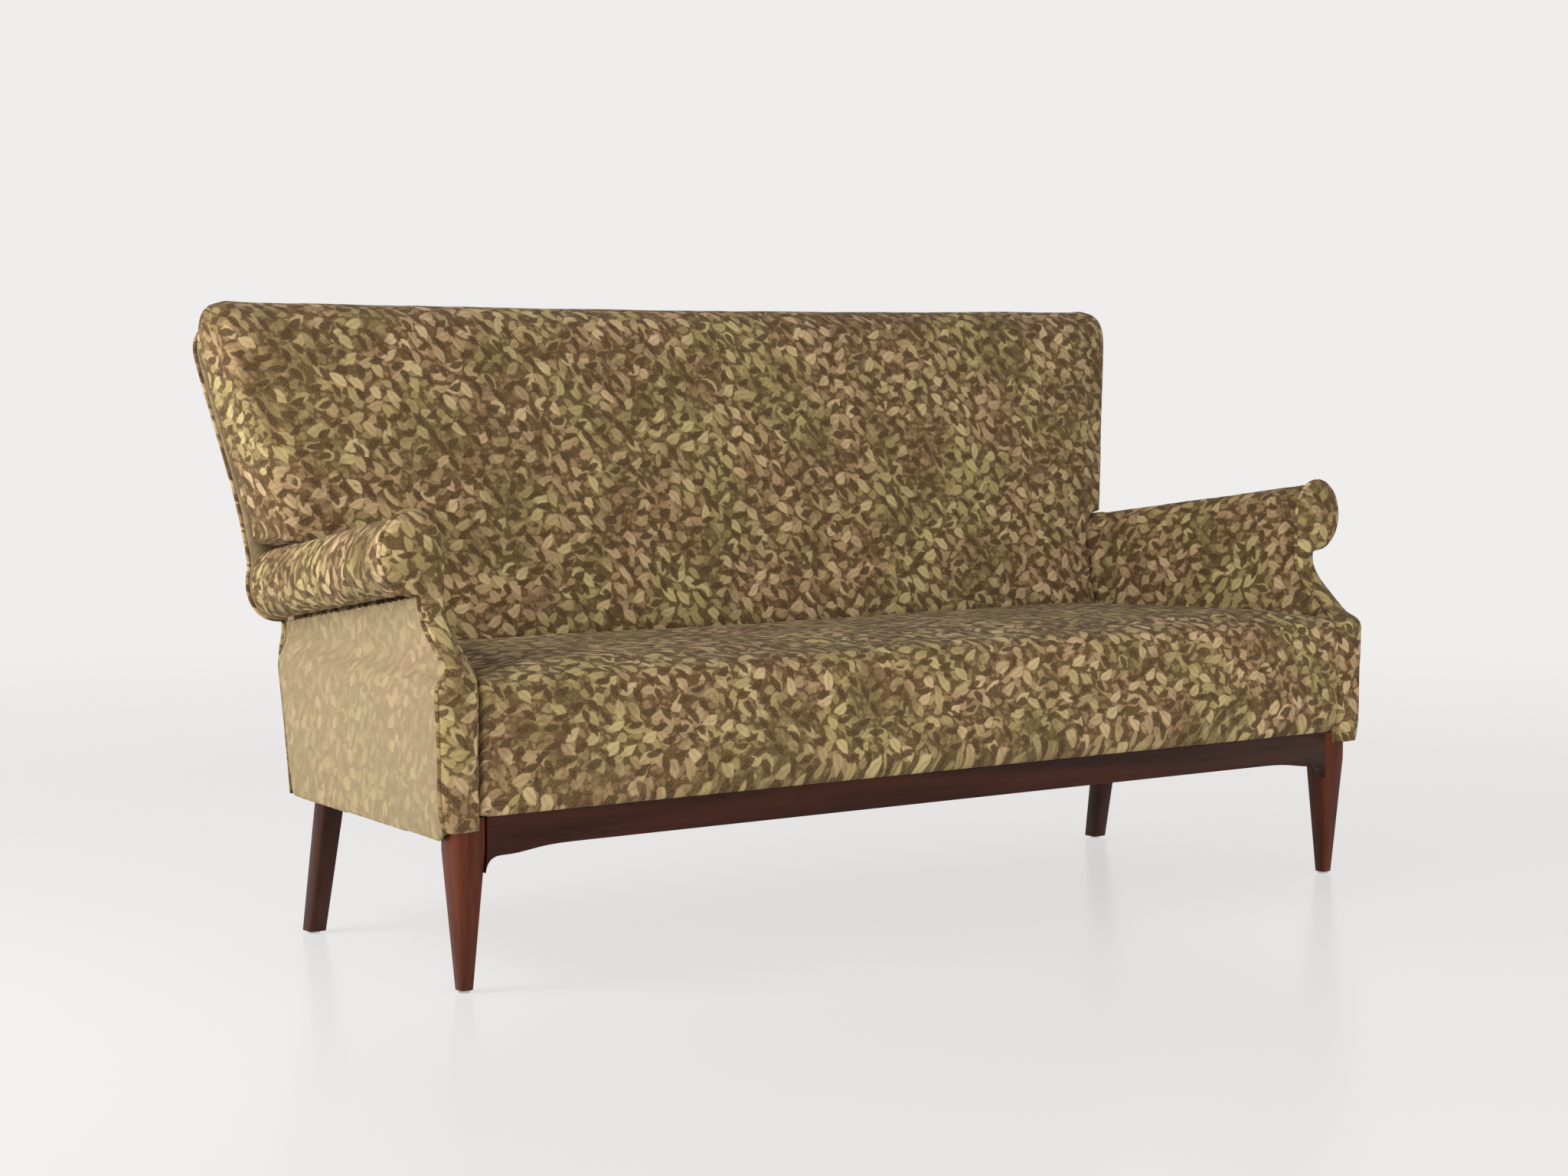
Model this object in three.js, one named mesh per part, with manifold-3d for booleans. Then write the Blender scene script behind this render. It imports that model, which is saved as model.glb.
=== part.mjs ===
// An upholstered settee with rolled arms, a flared and leaning back, a tight sprung seat,
// a show-wood front rail with bracket ends, two tapered front legs and two raked rear legs.
// Millimetres. X runs along the settee, Y from the front to the rear, Z upward.
// While it is built, Y is zero on the line of the front feet and Z is zero on the floor.
import * as THREE from 'three';
import Module from 'manifold-3d';
import { mergeVertices } from 'three/addons/utils/BufferGeometryUtils.js';

const wasm = await Module();
wasm.setup();

// Clearances shared by all pieces
const gap = 0.3;
const softGap = 1;
const overrun = 6;

// Feet and legs
const frontFootSpan = 1550;
const rearFootSpan = 1466;
const footDepth = 482;
const frontLegTop = 44;
const frontLegFoot = 18;
const rearLegTop = 33;
const rearLegFoot = 26;
const rearLegLean = 39;
const rearLegSplay = 7;
const legCornerShare = 0.14;
const glideRadius = 8;
const glideHeight = 3;
const glideRim = 0.8;
const glidePinRadius = 1.5;
const glidePinLength = 12;
const spigotRadius = 6;
const spigotLength = 38;
const rearSpigotInset = 7;

// Show-wood front rail
const frontRailTop = 225;
const frontRailUnderside = 182;
const frontRailThickness = 20;
const bracketDrop = 8;
const bracketReach = 130;
const bracketRadius = 21;
const tenonLength = 17;
const tenonThickness = 10;
const tenonMargin = 9;

// Hidden beech seat frame
const frameUnderside = 200;
const seatRailTop = 300;
const frontSeatRailThickness = 25;
const sideRailThickness = 18.4;
const stretcherWidth = 45;
const stretcherHeight = 34;
const cornerBlockLength = 70;
const rearBlockLength = 112;
const rearBlockWidth = 100;
const rearBlockNose = 56;
const cornerBlockHeight = 85;

// Body plan: the outer sides and the arms' inner faces both close in toward the rear
const bodyFront = -38;
const halfWidthFront = 822;
const halfWidthRear = 740;
const armInnerFront = 768;
const armInnerRear = 692;
const coverThickness = 6;
const sideCoverBottomFront = 194;
const sideCoverBottomRear = 186;
const rearCoverBottom = 190;
const bottomTuckFront = 12;
const bottomTuckRear = 1;
const bottomTuckHeight = 66;

// Arm: shoulder, neck and roll, each at the front and at the rear
const neckCover = 3.7;
const shoulderSwellFront = 3;
const shoulderSwellRear = 0;
const shoulderHeightFront = 388;
const shoulderHeightRear = 365;
const neckHeightFront = 415;
const neckHeightRear = 425;
const rollTopFront = 610;
const rollTopRear = 532;
const rollUnderFront = 503;
const rollUnderRear = 432;
const rollTipFront = 859;
const rollTipRear = 772;
const rollSteps = 14;
const innerPadThickness = 11;
const armPadBottom = 318;
const boardThickness = 22;
const boardDrop = 12;
const boardWidthFront = 62;
const boardWidthRear = 24;
const frontPostDepth = 34;
const rearPostDepth = 26;
const tackRailBottom = 330;
const tackRailHeight = 28;
const shoulderRailHeight = 24;

// Arm facing, which leans back above the seat
const facingBottom = 208;
const facingThickness = 15;
const facingRelief = 3;
const facingRound = 12;
const facingEdge = 24;
const rakeStart = 385;
const rakeEnd = 485;
const rakeDepth = 83;

// Back: both faces lean, and the sides flare above the waist
const backLevel = 608;
const backRearAtLevel = 612;
const backRearLeanShare = 0.11;
const lowerLeanShare = 0.2;
const backFrontAtLevel = 502;
const backFrontLeanShare = 0.241;
const backTop = 888;
const backSag = 7.5;
const backWaist = 736;
const flareHeight = 430;
const flareRise = 458;
const flareReach = 114.5;
const backCrown = 16;
const backSideRound = 34;
const backCornerRadius = 48;
const backTopRound = 38;
const backPadBottom = 330;
const backPadSide = 14;
const backPadTop = 26;
const backPadCorner = 34;

// Hidden beech back frame
const backFrameDepth = 28;
const backPostWidth = 50;
const topRailDrop = 60;
const topRailHeight = 50;
const lowerRailBottom = 380;
const lowerRailHeight = 40;
const wingClearance = 14;
const wingWidth = 26;
const strutWidth = 40;

// Webbing, springs and hessian
const springTurns = 4;
const springSides = 5;
const springStepsPerTurn = 8;
const strapWidth = 50;
const strapThickness = 2;
const seatStrapPitch = 200;
const springRowFront = 140;
const springRowRear = 320;
const springPitch = 230;
const springColumns = 6;
const springEndRadius = 45;
const springWaistRadius = 29;
const springWire = 4;
const hessianThickness = 1.2;
const hessianTop = 350;
const dustCoverThickness = 1.2;
const dustCoverLap = 5;
const backStrapPitch = 190;
const backStrapsEachSide = 3;

// Seat pad
const seatHeight = 411;
const seatRearDrop = 11;
const seatFrontBulge = 6;
const seatEdgeRadius = 26;
const seatSideDip = 6;
const seatCrown = 5;

// Materials
const fabric = { color: 0x8b7a55, roughness: 0.95, metalness: 0 };
const mahogany = { color: 0x4a1a10, roughness: 0.35, metalness: 0 };
const beech = { color: 0xc79d6b, roughness: 0.7, metalness: 0 };
const jute = { color: 0xa8875a, roughness: 0.95, metalness: 0 };
const lining = { color: 0x2a2622, roughness: 0.95, metalness: 0 };
const springSteel = { color: 0x5d5a55, roughness: 0.45, metalness: 0.9 };
const nickel = { color: 0xb9b7b0, roughness: 0.3, metalness: 0.9 };

const { lerp, smoothstep, degToRad } = THREE.MathUtils;
const FRONT = 0;
const REAR = 1;
const settee = new THREE.Group();

// Adds one named piece.
function add(name, geometry, look) {
  const mesh = new THREE.Mesh(geometry, new THREE.MeshStandardMaterial(look));
  mesh.name = name;
  settee.add(mesh);
}

// The same shape on the left-hand side.
function mirrored(geometry) {
  const copy = mergeVertices(bare(geometry));
  copy.scale(-1, 1, 1);
  copy.setIndex(Array.from(copy.index.array).reverse());
  return copy;
}

// Adds a right-hand piece and its mirror image.
function addPair(name, geometry, look) {
  add(`${name}_right`, geometry, look);
  add(`${name}_left`, mirrored(geometry), look);
}

function bare(geometry) {
  const copy = geometry.clone();
  copy.deleteAttribute('normal');
  copy.deleteAttribute('uv');
  return copy;
}

function solidOf(geometry) {
  const merged = mergeVertices(bare(geometry));
  return new wasm.Manifold(new wasm.Mesh({
    numProp: 3,
    vertProperties: Float32Array.from(merged.attributes.position.array),
    triVerts: Uint32Array.from(merged.index.array),
  }));
}

function geometryOf(solid) {
  const mesh = solid.getMesh();
  const geometry = new THREE.BufferGeometry();
  geometry.setAttribute('position', new THREE.Float32BufferAttribute(mesh.vertProperties, 3));
  geometry.setIndex(Array.from(mesh.triVerts));
  return geometry;
}

// The first shape less all the others.
function cut(geometry, ...tools) {
  return geometryOf(tools.reduce((body, tool) => body.subtract(solidOf(tool)), solidOf(geometry)));
}

// All shapes as one body.
function joined(...shapes) {
  return geometryOf(shapes.slice(1).reduce((body, shape) => body.add(solidOf(shape)), solidOf(shapes[0])));
}

// A closed solid through a row of loops. Each loop is two matched rails, out along the first
// and back along the second, so that its end faces are ladders between the rails.
function loft(loops) {
  const count = loops[0].length;
  const index = [];
  for (let k = 0; k + 1 < loops.length; k++) {
    for (let i = 0; i < count; i++) {
      const a = k * count + i;
      const b = k * count + (i + 1) % count;
      index.push(a, b, b + count, a, b + count, a + count);
    }
  }
  const last = (loops.length - 1) * count;
  for (let i = 0; i + 1 < count / 2; i++) {
    const j = count - 1 - i;
    index.push(i, j, j - 1, i, j - 1, i + 1);
    index.push(last + i, last + j - 1, last + j, last + i, last + i + 1, last + j - 1);
  }
  const geometry = new THREE.BufferGeometry().setFromPoints(loops.flat());
  geometry.setIndex(signedVolume(geometry, index) < 0 ? index.reverse() : index);
  return geometry;
}

function signedVolume(geometry, index) {
  const place = geometry.attributes.position;
  const [a, b, c] = [new THREE.Vector3(), new THREE.Vector3(), new THREE.Vector3()];
  let volume = 0;
  for (let i = 0; i < index.length; i += 3) {
    a.fromBufferAttribute(place, index[i]);
    b.fromBufferAttribute(place, index[i + 1]);
    c.fromBufferAttribute(place, index[i + 2]);
    volume += a.dot(b.cross(c));
  }
  return volume;
}

// A box between two opposite corners.
function block(x0, x1, y0, y1, z0, z1) {
  const box = new THREE.BoxGeometry(x1 - x0, y1 - y0, z1 - z0);
  return box.translate((x0 + x1) / 2, (y0 + y1) / 2, (z0 + z1) / 2);
}

// An upright cylinder.
function pin(radius, x, y, z0, z1, sides = 16) {
  const round = new THREE.CylinderGeometry(radius, radius, z1 - z0, sides).rotateX(Math.PI / 2);
  return round.translate(x, y, (z0 + z1) / 2);
}

// A level rectangle, as one loop of a loft.
function level(x0, x1, y0, y1, z) {
  return [[x0, y0], [x0, y1], [x1, y1], [x1, y0]].map(([x, y]) => new THREE.Vector3(x, y, z));
}

// A level square with rounded corners, as one loop of a loft.
function roundedLevel(x, y, z, size) {
  const radius = size * legCornerShare;
  const straight = size / 2 - radius;
  const loop = [];
  for (const quarter of [0, 1, 2, 3]) {
    for (const step of [0, 1, 2]) {
      const turn = (quarter + step / 2) * Math.PI / 2;
      const cornerX = straight * (quarter === 0 || quarter === 3 ? 1 : -1);
      const cornerY = straight * (quarter < 2 ? 1 : -1);
      loop.push(new THREE.Vector3(
        x + cornerX + radius * Math.cos(turn), y + cornerY + radius * Math.sin(turn), z));
    }
  }
  return loop;
}

// Lines of the body. The rear leans more below the waist than above it.
function backRear(z) {
  return backRearAtLevel + backRearLeanShare * (Math.max(z, flareHeight) - backLevel)
    - lowerLeanShare * Math.max(0, flareHeight - z);
}

function backFront(z) {
  return backFrontAtLevel + backFrontLeanShare * (z - backLevel);
}

function backHalfWidth(z) {
  return backWaist + flareReach * Math.max(0, z - flareHeight) / flareRise;
}

function facingFront(z) {
  return bodyFront + rakeDepth * smoothstep(z, rakeStart, rakeEnd);
}

// Sizes of the arm at its front and rear ends
const outerSide = [halfWidthFront, halfWidthRear];
const armInner = [armInnerFront, armInnerRear];
const postInner = armInner.map((x) => x + innerPadThickness);
const railOuter = outerSide.map((x) => x - coverThickness - gap);
const railInner = railOuter.map((x) => x - sideRailThickness);
const postOuter = railInner.map((x) => x - gap);
const neckSide = postOuter.map((x) => x + 2 * gap + neckCover);
const rollTop = [rollTopFront, rollTopRear];
const rollUnder = [rollUnderFront, rollUnderRear];
const rollTip = [rollTipFront, rollTipRear];
const rollMiddle = rollTop.map((z, end) => (z + rollUnder[end]) / 2);
const rollAxis = rollTip.map((x, end) => (x + armInner[end]) / 2);
const rollRise = rollTop.map((z, end) => z - rollMiddle[end]);
const rollReach = rollTip.map((x, end) => x - rollAxis[end]);
const boardBottom = rollMiddle.map((z) => z - boardDrop);
const boardTop = boardBottom.map((z) => z + boardThickness);
const boardOuter = [postInner[FRONT] + boardWidthFront, postInner[REAR] + boardWidthRear];
const shoulderHeight = [shoulderHeightFront, shoulderHeightRear];
const shoulderSwell = [shoulderSwellFront, shoulderSwellRear];
const neckHeight = [neckHeightFront, neckHeightRear];
const sideCoverBottom = [sideCoverBottomFront, sideCoverBottomRear];
const bottomTuck = [bottomTuckFront, bottomTuckRear];
const tuckTop = sideCoverBottom.map((z) => z + bottomTuckHeight);
const tuckShares = [0.25, 0.55, 1];
const lengthShares = [0.25, 0.5, 0.75, 1];

// A point of the arm: a place on the front profile and one on the rear profile, mixed.
function armPoint(front, rear, share) {
  const startY = facingFront(front[1]) + facingThickness + gap;
  const endY = backRear(rear[1]) - coverThickness - gap;
  return new THREE.Vector3(
    lerp(front[0], rear[0], share), lerp(startY, endY, share), lerp(front[1], rear[1], share));
}

// A solid along the arm. The profile gives two matched rails of [x, z] at each end.
function armLoft(profile, shares) {
  const [front, rear] = [FRONT, REAR].map((end) => {
    const [out, back] = profile(end);
    return [...out, ...back.reverse()];
  });
  return loft(shares.map((share) => front.map((place, i) => armPoint(place, rear[i], share))));
}

const armLength = backRear(seatRailTop) - bodyFront - facingThickness - coverThickness;

// A straight member of the arm between two shares of its length.
function armMember(inner, outer, bottom, top, shares) {
  return armLoft((end) => [
    [[inner[end], bottom[end]], [inner[end], top[end]]],
    [[outer[end], bottom[end]], [outer[end], top[end]]],
  ], shares);
}

// Where a line along the arm stands at one depth, at the height of the seat rails.
function alongArm(line, y) {
  const startY = bodyFront + facingThickness + gap;
  const endY = backRear(frameUnderside) - coverThickness - gap;
  return lerp(line[FRONT], line[REAR], Math.max(0, (y - startY) / (endY - startY)));
}

// How far the outer side draws in near its bottom edge.
function tuck(end, z) {
  return bottomTuck[end] * Math.max(0, (tuckTop[end] - z) / bottomTuckHeight) ** 2;
}

// The outer surface of the side cover, from a bottom edge over the shoulder to the neck.
function sideProfile(end, bottom) {
  const side = outerSide[end];
  const shoulder = side + shoulderSwell[end];
  const reach = (shoulderHeight[end] - seatRailTop) / 2;
  const fall = (neckHeight[end] - shoulderHeight[end]) / 2;
  const rise = new THREE.CubicBezierCurve(
    new THREE.Vector2(side, seatRailTop),
    new THREE.Vector2(side, seatRailTop + reach),
    new THREE.Vector2(shoulder, shoulderHeight[end] - reach),
    new THREE.Vector2(shoulder, shoulderHeight[end]));
  const turn = new THREE.CubicBezierCurve(
    new THREE.Vector2(shoulder, shoulderHeight[end]),
    new THREE.Vector2(shoulder, shoulderHeight[end] + fall),
    new THREE.Vector2(neckSide[end], neckHeight[end] - fall),
    new THREE.Vector2(neckSide[end], neckHeight[end]));
  return [
    ...[0, ...tuckShares].map((share) => lerp(bottom, tuckTop[end], share))
      .map((z) => [side - tuck(end, z), z]),
    ...rise.getPoints(4).map((p) => [p.x, p.y]),
    ...turn.getPoints(5).slice(1).map((p) => [p.x, p.y]),
    ...[0.25, 0.5, 0.75, 1].map(
      (share) => [neckSide[end], lerp(neckHeight[end], rollUnder[end] - gap, share)]),
  ];
}

// The outer surface of the arm pad: up the inner face and round the roll to the neck.
function rollPoint(end, angle, grow = 0) {
  return [
    rollAxis[end] + (rollReach[end] + grow) * Math.cos(angle),
    rollMiddle[end] + (rollRise[end] + grow) * Math.sin(angle),
  ];
}

function neckAngle(end) {
  return -Math.acos((neckSide[end] - rollAxis[end]) / rollReach[end]);
}

// Heights up the straight part of the arm, level at the front with the points of the outer side,
// so that the pad, the post and the cover all follow the facing where it leans back.
const wallShares = sideProfile(FRONT, sideCoverBottomFront)
  .map(([, z]) => (z - armPadBottom) / (rollMiddle[FRONT] - armPadBottom))
  .filter((share) => share > 0);

function wallHeights(end) {
  return [0, ...wallShares].map((share) => lerp(armPadBottom, rollMiddle[end], share));
}

function padProfile(end) {
  const points = wallHeights(end).map((z) => [armInner[end], z]);
  for (let k = 0; k <= rollSteps; k++) {
    points.push(rollPoint(end, lerp(Math.PI, neckAngle(end), k / rollSteps)));
  }
  return points;
}

// The hollow of the arm pad, round the arm posts and the board that lies on them.
function padHollow(end) {
  const inside = postInner[end] - gap;
  const outside = postOuter[end] + gap;
  const edge = boardOuter[end] + gap;
  const under = boardBottom[end] - gap;
  const over = boardTop[end] + gap;
  const middle = rollMiddle[end];
  return [
    ...wallHeights(end).map((z) => [inside, z]),
    [inside, middle], [inside, (middle + over) / 2],
    ...[0, 0.2, 0.4, 0.6, 0.8, 1].map((share) => [lerp(inside, edge, share), over]),
    [edge, lerp(over, under, 1 / 3)], [edge, lerp(over, under, 2 / 3)], [edge, under],
    [lerp(edge, outside, 1 / 3), under], [lerp(edge, outside, 2 / 3), under], [outside, under],
    [outside, rollPoint(end, neckAngle(end))[1]],
  ];
}

// Legs, glides and the show-wood rail
const legTopHeight = frontRailTop - gap;
const footHeight = glideHeight + gap;
const frontFootX = frontFootSpan / 2;
const rearFootX = rearFootSpan / 2;
const rearLegTopX = rearFootX - rearLegSplay;
const rearLegTopY = footDepth - rearLegLean;
const postMiddleY = bodyFront + facingThickness + gap + frontPostDepth / 2;
const frontSpigotX = (alongArm(postInner, postMiddleY) + alongArm(postOuter, postMiddleY)) / 2;
const rearSpigotX = rearLegTopX - rearSpigotInset;
const railEnd = frontFootX - frontLegTop / 2 - gap;
const railFront = -frontLegTop / 2;

function glidePinHole(x, y) {
  return pin(glidePinRadius + gap, x, y, footHeight - overrun, footHeight + glidePinLength, 8);
}

function glide(x, y) {
  const profile = [
    [0, 0], [glideRadius - glideRim, 0], [glideRadius, glideRim], [glideRadius, glideHeight],
    [glidePinRadius, glideHeight], [glidePinRadius, glidePinLength], [0, glidePinLength],
  ].map(([r, z]) => new THREE.Vector2(r, z));
  return new THREE.LatheGeometry(profile, 16).rotateX(Math.PI / 2).translate(x, y, 0);
}

function tenon(grow, reach) {
  const middleY = railFront + frontRailThickness / 2;
  return block(
    railEnd - reach, railEnd + tenonLength + grow,
    middleY - tenonThickness / 2 - grow, middleY + tenonThickness / 2 + grow,
    frontRailUnderside + tenonMargin - grow, frontRailTop - tenonMargin + grow);
}

function frontLeg() {
  const shaft = loft([
    roundedLevel(frontFootX, 0, footHeight, frontLegFoot),
    roundedLevel(frontFootX, 0, frontRailUnderside, frontLegTop),
    roundedLevel(frontFootX, 0, legTopHeight, frontLegTop),
  ]);
  const spigot = pin(
    spigotRadius, frontSpigotX, postMiddleY, legTopHeight - overrun, legTopHeight + spigotLength);
  return cut(joined(shaft, spigot), tenon(gap, 0), glidePinHole(frontFootX, 0));
}

function rearLeg() {
  const shaft = loft([
    roundedLevel(rearFootX, footDepth, footHeight, rearLegFoot),
    roundedLevel(rearLegTopX, rearLegTopY, frameUnderside - gap, rearLegTop),
  ]);
  const spigot = pin(spigotRadius, rearSpigotX, rearLegTopY,
    frameUnderside - gap - overrun, frameUnderside - gap + spigotLength);
  return cut(joined(shaft, spigot), glidePinHole(rearFootX, footDepth));
}

// The rail's underside is level in the middle, eases down toward the legs and turns into
// them with a small round, so that each end is a bracket that follows the leg's taper.
function frontRail() {
  const taper = (frontLegTop - frontLegFoot) / 2 / (frontRailUnderside - footHeight);
  const bracketBottom = frontRailUnderside - bracketDrop;
  const endBottom = bracketBottom - bracketRadius;
  const shape = new THREE.Shape();
  shape.moveTo(-railEnd, legTopHeight);
  shape.lineTo(-railEnd, frontRailUnderside);
  shape.lineTo(-railEnd - taper * (frontRailUnderside - endBottom), endBottom);
  shape.quadraticCurveTo(-railEnd, bracketBottom, -railEnd + bracketRadius, bracketBottom);
  shape.bezierCurveTo(
    -railEnd + bracketReach / 2, bracketBottom,
    -railEnd + bracketReach / 2, frontRailUnderside,
    -railEnd + bracketReach, frontRailUnderside);
  shape.lineTo(railEnd - bracketReach, frontRailUnderside);
  shape.bezierCurveTo(
    railEnd - bracketReach / 2, frontRailUnderside,
    railEnd - bracketReach / 2, bracketBottom,
    railEnd - bracketRadius, bracketBottom);
  shape.quadraticCurveTo(
    railEnd, bracketBottom, railEnd + taper * (frontRailUnderside - endBottom), endBottom);
  shape.lineTo(railEnd, frontRailUnderside);
  shape.lineTo(railEnd, legTopHeight);
  const board = new THREE.ExtrudeGeometry(
    shape, { depth: frontRailThickness, bevelEnabled: false, curveSegments: 8 });
  board.rotateX(Math.PI / 2).translate(0, railFront + frontRailThickness, 0);
  return joined(board, tenon(0, overrun), mirrored(tenon(0, overrun)));
}

add('front_rail', frontRail(), mahogany);
addPair('front_leg', frontLeg(), mahogany);
addPair('rear_leg', rearLeg(), mahogany);
addPair('front_foot_glide', glide(frontFootX, 0), nickel);
addPair('rear_foot_glide', glide(rearFootX, footDepth), nickel);

// Seat frame
const seatRailFront = railFront + frontRailThickness + gap;
const seatRailRear = seatRailFront + frontSeatRailThickness;

// An upright or a rail that lies against the outside back, bent at the waist as that is.
function backMember(halfWidths, z0, z1, inset = 0, depth = backFrameDepth) {
  const levels = z0 < flareHeight && z1 > flareHeight ? [z0, flareHeight, z1] : [z0, z1];
  return loft(levels.map((z) => {
    const [x0, x1] = halfWidths(z);
    const rear = backRear(z) - coverThickness - gap - inset;
    return level(x0, x1, rear - depth, rear, z);
  }));
}

function frontSeatRail() {
  const reach = alongArm(postInner, seatRailRear) - gap;
  const lower = block(-railEnd, railEnd, seatRailFront, seatRailRear, frameUnderside, seatRailTop);
  const upper = block(-reach, reach, seatRailFront, seatRailRear, frontRailTop, seatRailTop);
  return joined(lower, upper);
}

// The side rail. Its lower arris follows the cover, and its front end is cut back for the
// leg's head and the cover's turn.
function sideSeatRail() {
  const rail = armLoft((end) => {
    const heights = tuckShares.map((share) => lerp(sideCoverBottom[end], tuckTop[end], share));
    return [
      [frameUnderside, ...heights, seatRailTop].map((z) => [railInner[end], z]),
      [
        [railOuter[end] - bottomTuck[end], frameUnderside],
        ...heights.map((z) => [railOuter[end] - tuck(end, z), z]),
        [railOuter[end], seatRailTop],
      ],
    ];
  }, [0, ...lengthShares]);
  return cut(rail, block(
    railEnd, halfWidthFront, bodyFront, frontLegTop / 2 + gap, frameUnderside - overrun, frontRailTop));
}

// A prism with level faces over a plan outline of [x, y] points.
function planPrism(outline, z0, z1) {
  const shape = new THREE.Shape(outline.map(([x, y]) => new THREE.Vector2(x, y)));
  return new THREE.ExtrudeGeometry(shape, { depth: z1 - z0, bevelEnabled: false }).translate(0, 0, z0);
}

function frontCornerBlock() {
  const y0 = seatRailRear + gap;
  const y1 = y0 + cornerBlockLength;
  const side = (y) => alongArm(railInner, y) - softGap / 2;
  return planPrism(
    [[side(y0), y0], [side(y1), y1], [side(y0) - cornerBlockLength, y0]],
    frameUnderside, frameUnderside + cornerBlockHeight);
}

const rearRailFront = backRear(frameUnderside) - coverThickness - gap - backFrameDepth;

function rearCornerBlock() {
  const y1 = rearRailFront - gap;
  const y0 = y1 - rearBlockLength;
  const side = (y) => alongArm(railInner, y) - softGap / 2;
  const body = planPrism(
    [[side(y0), y0], [side(y1), y1], [side(y1) - rearBlockWidth, y1], [side(y0) - rearBlockNose, y0]],
    frameUnderside, frameUnderside + cornerBlockHeight);
  return cut(body, pin(spigotRadius + gap, rearSpigotX, rearLegTopY,
    frameUnderside - overrun, frameUnderside + spigotLength));
}

add('front_seat_rail', frontSeatRail(), beech);
add('rear_seat_rail', backMember(
  () => [softGap - railInner[REAR], railInner[REAR] - softGap], frameUnderside, seatRailTop), beech);
addPair('side_seat_rail', sideSeatRail(), beech);
add('seat_stretcher', block(
  -stretcherWidth / 2, stretcherWidth / 2, seatRailRear + gap, rearRailFront - gap,
  frameUnderside, frameUnderside + stretcherHeight), beech);
addPair('front_corner_block', frontCornerBlock(), beech);
addPair('rear_corner_block', rearCornerBlock(), beech);

// Arm frame
const postTopAngle = Math.asin((boardBottom[FRONT] - gap - rollMiddle[FRONT]) / rollRise[FRONT]);
const rollAngles = [
  ...[-90, -72, -55, -38, -24].map(degToRad), postTopAngle,
  ...[0, 20, 38, 55, 70, 82].map(degToRad),
];
const facingEdgeLine = [
  ...sideProfile(FRONT, facingBottom), ...rollAngles.map((angle) => rollPoint(FRONT, angle)),
];
const frontLevels = [frontRailTop, ...facingEdgeLine.map(([, z]) => z).filter(
  (z) => z > frontRailTop && z < boardBottom[FRONT] - softGap)];
const frontLevelsAtRear = frontLevels.map((z) => {
  const share = (z - armPadBottom) / (rollMiddle[FRONT] - armPadBottom);
  return share > 0 ? lerp(armPadBottom, rollMiddle[REAR], share) : z;
});
const rearLevels = [seatRailTop + gap, flareHeight];

// An arm post, through the levels that a line has at the arm's front end and at its rear end.
function armPost(levels, shares) {
  return armLoft((end) => {
    const heights = [...levels[end], boardBottom[end] - gap];
    return [heights.map((z) => [postInner[end], z]), heights.map((z) => [postOuter[end], z])];
  }, shares);
}

const frontPostShare = frontPostDepth / armLength;
const rearPostShare = 1 - rearPostDepth / armLength;
const gapShare = softGap / armLength;
const tackRailLevel = [tackRailBottom, tackRailBottom];
const frontPost = cut(
  armPost([frontLevels, frontLevelsAtRear], [0, frontPostShare]),
  pin(spigotRadius + gap, frontSpigotX, postMiddleY,
    frontRailTop - overrun, frontRailTop + spigotLength));

addPair('arm_front_post', frontPost, beech);
addPair('arm_rear_post', armPost([rearLevels, rearLevels], [rearPostShare, 1]), beech);
addPair('arm_board', armMember(
  postInner, boardOuter, boardBottom, boardTop, [facingRelief / armLength, 1]), beech);
addPair('arm_tack_rail', armMember(
  postInner, postOuter, tackRailLevel, tackRailLevel.map((z) => z + tackRailHeight),
  [frontPostShare + gapShare / 2, rearPostShare - gapShare / 2]), beech);
addPair('arm_shoulder_rail', armMember(
  postOuter.map((x) => x + gap), outerSide.map((x) => x - coverThickness),
  shoulderHeight.map((z) => z - shoulderRailHeight), shoulderHeight,
  [facingRelief / armLength, 1]), beech);

// Back frame
const topRailTop = backTop - topRailDrop;
const topRailBottom = topRailTop - topRailHeight;
const backPostOuter = armInnerRear - gap;
const backPostInner = backPostOuter - backPostWidth;
const wingBottom = rollTopRear + wingClearance;
const wingOuter = (z) => backHalfWidth(z) - backPadSide - gap;
const wingInner = (z) => lerp(
  backPostOuter + gap, wingOuter(topRailTop) - wingWidth, (z - wingBottom) / (topRailTop - wingBottom));

addPair('back_post', backMember(
  () => [backPostInner, backPostOuter], seatRailTop + gap, topRailBottom - gap), beech);
add('back_top_rail', backMember(
  (z) => [gap - wingInner(z), wingInner(z) - gap], topRailBottom, topRailTop), beech);
add('back_lower_rail', backMember(
  () => [-backPostInner + gap, backPostInner - gap],
  lowerRailBottom, lowerRailBottom + lowerRailHeight), beech);
addPair('back_wing', backMember((z) => [wingInner(z), wingOuter(z)], wingBottom, topRailTop), beech);
add('back_strut', backMember(
  () => [-strutWidth / 2, strutWidth / 2],
  lowerRailBottom + lowerRailHeight + gap, topRailBottom - gap), beech);

// Webbing, springs, hessian and dust cover
function seatWebbing() {
  const z1 = frameUnderside - gap;
  const z0 = z1 - strapThickness;
  const half = strapWidth / 2;
  const reach = rearFootX - rearLegTop - strapWidth;
  const straps = [];
  for (let x = 0; x <= reach; x += seatStrapPitch) {
    for (const place of x > 0 ? [x, -x] : [x]) {
      straps.push(block(
        place - half, place + half, seatRailFront + gap, rearRailFront + half, z0, z1));
    }
  }
  for (const y of [springRowFront, (springRowFront + springRowRear) / 2, springRowRear]) {
    const end = alongArm(railOuter, y + half) - half / 2;
    straps.push(block(-end, end, y - half, y + half, z0, z1));
  }
  return joined(...straps);
}

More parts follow.
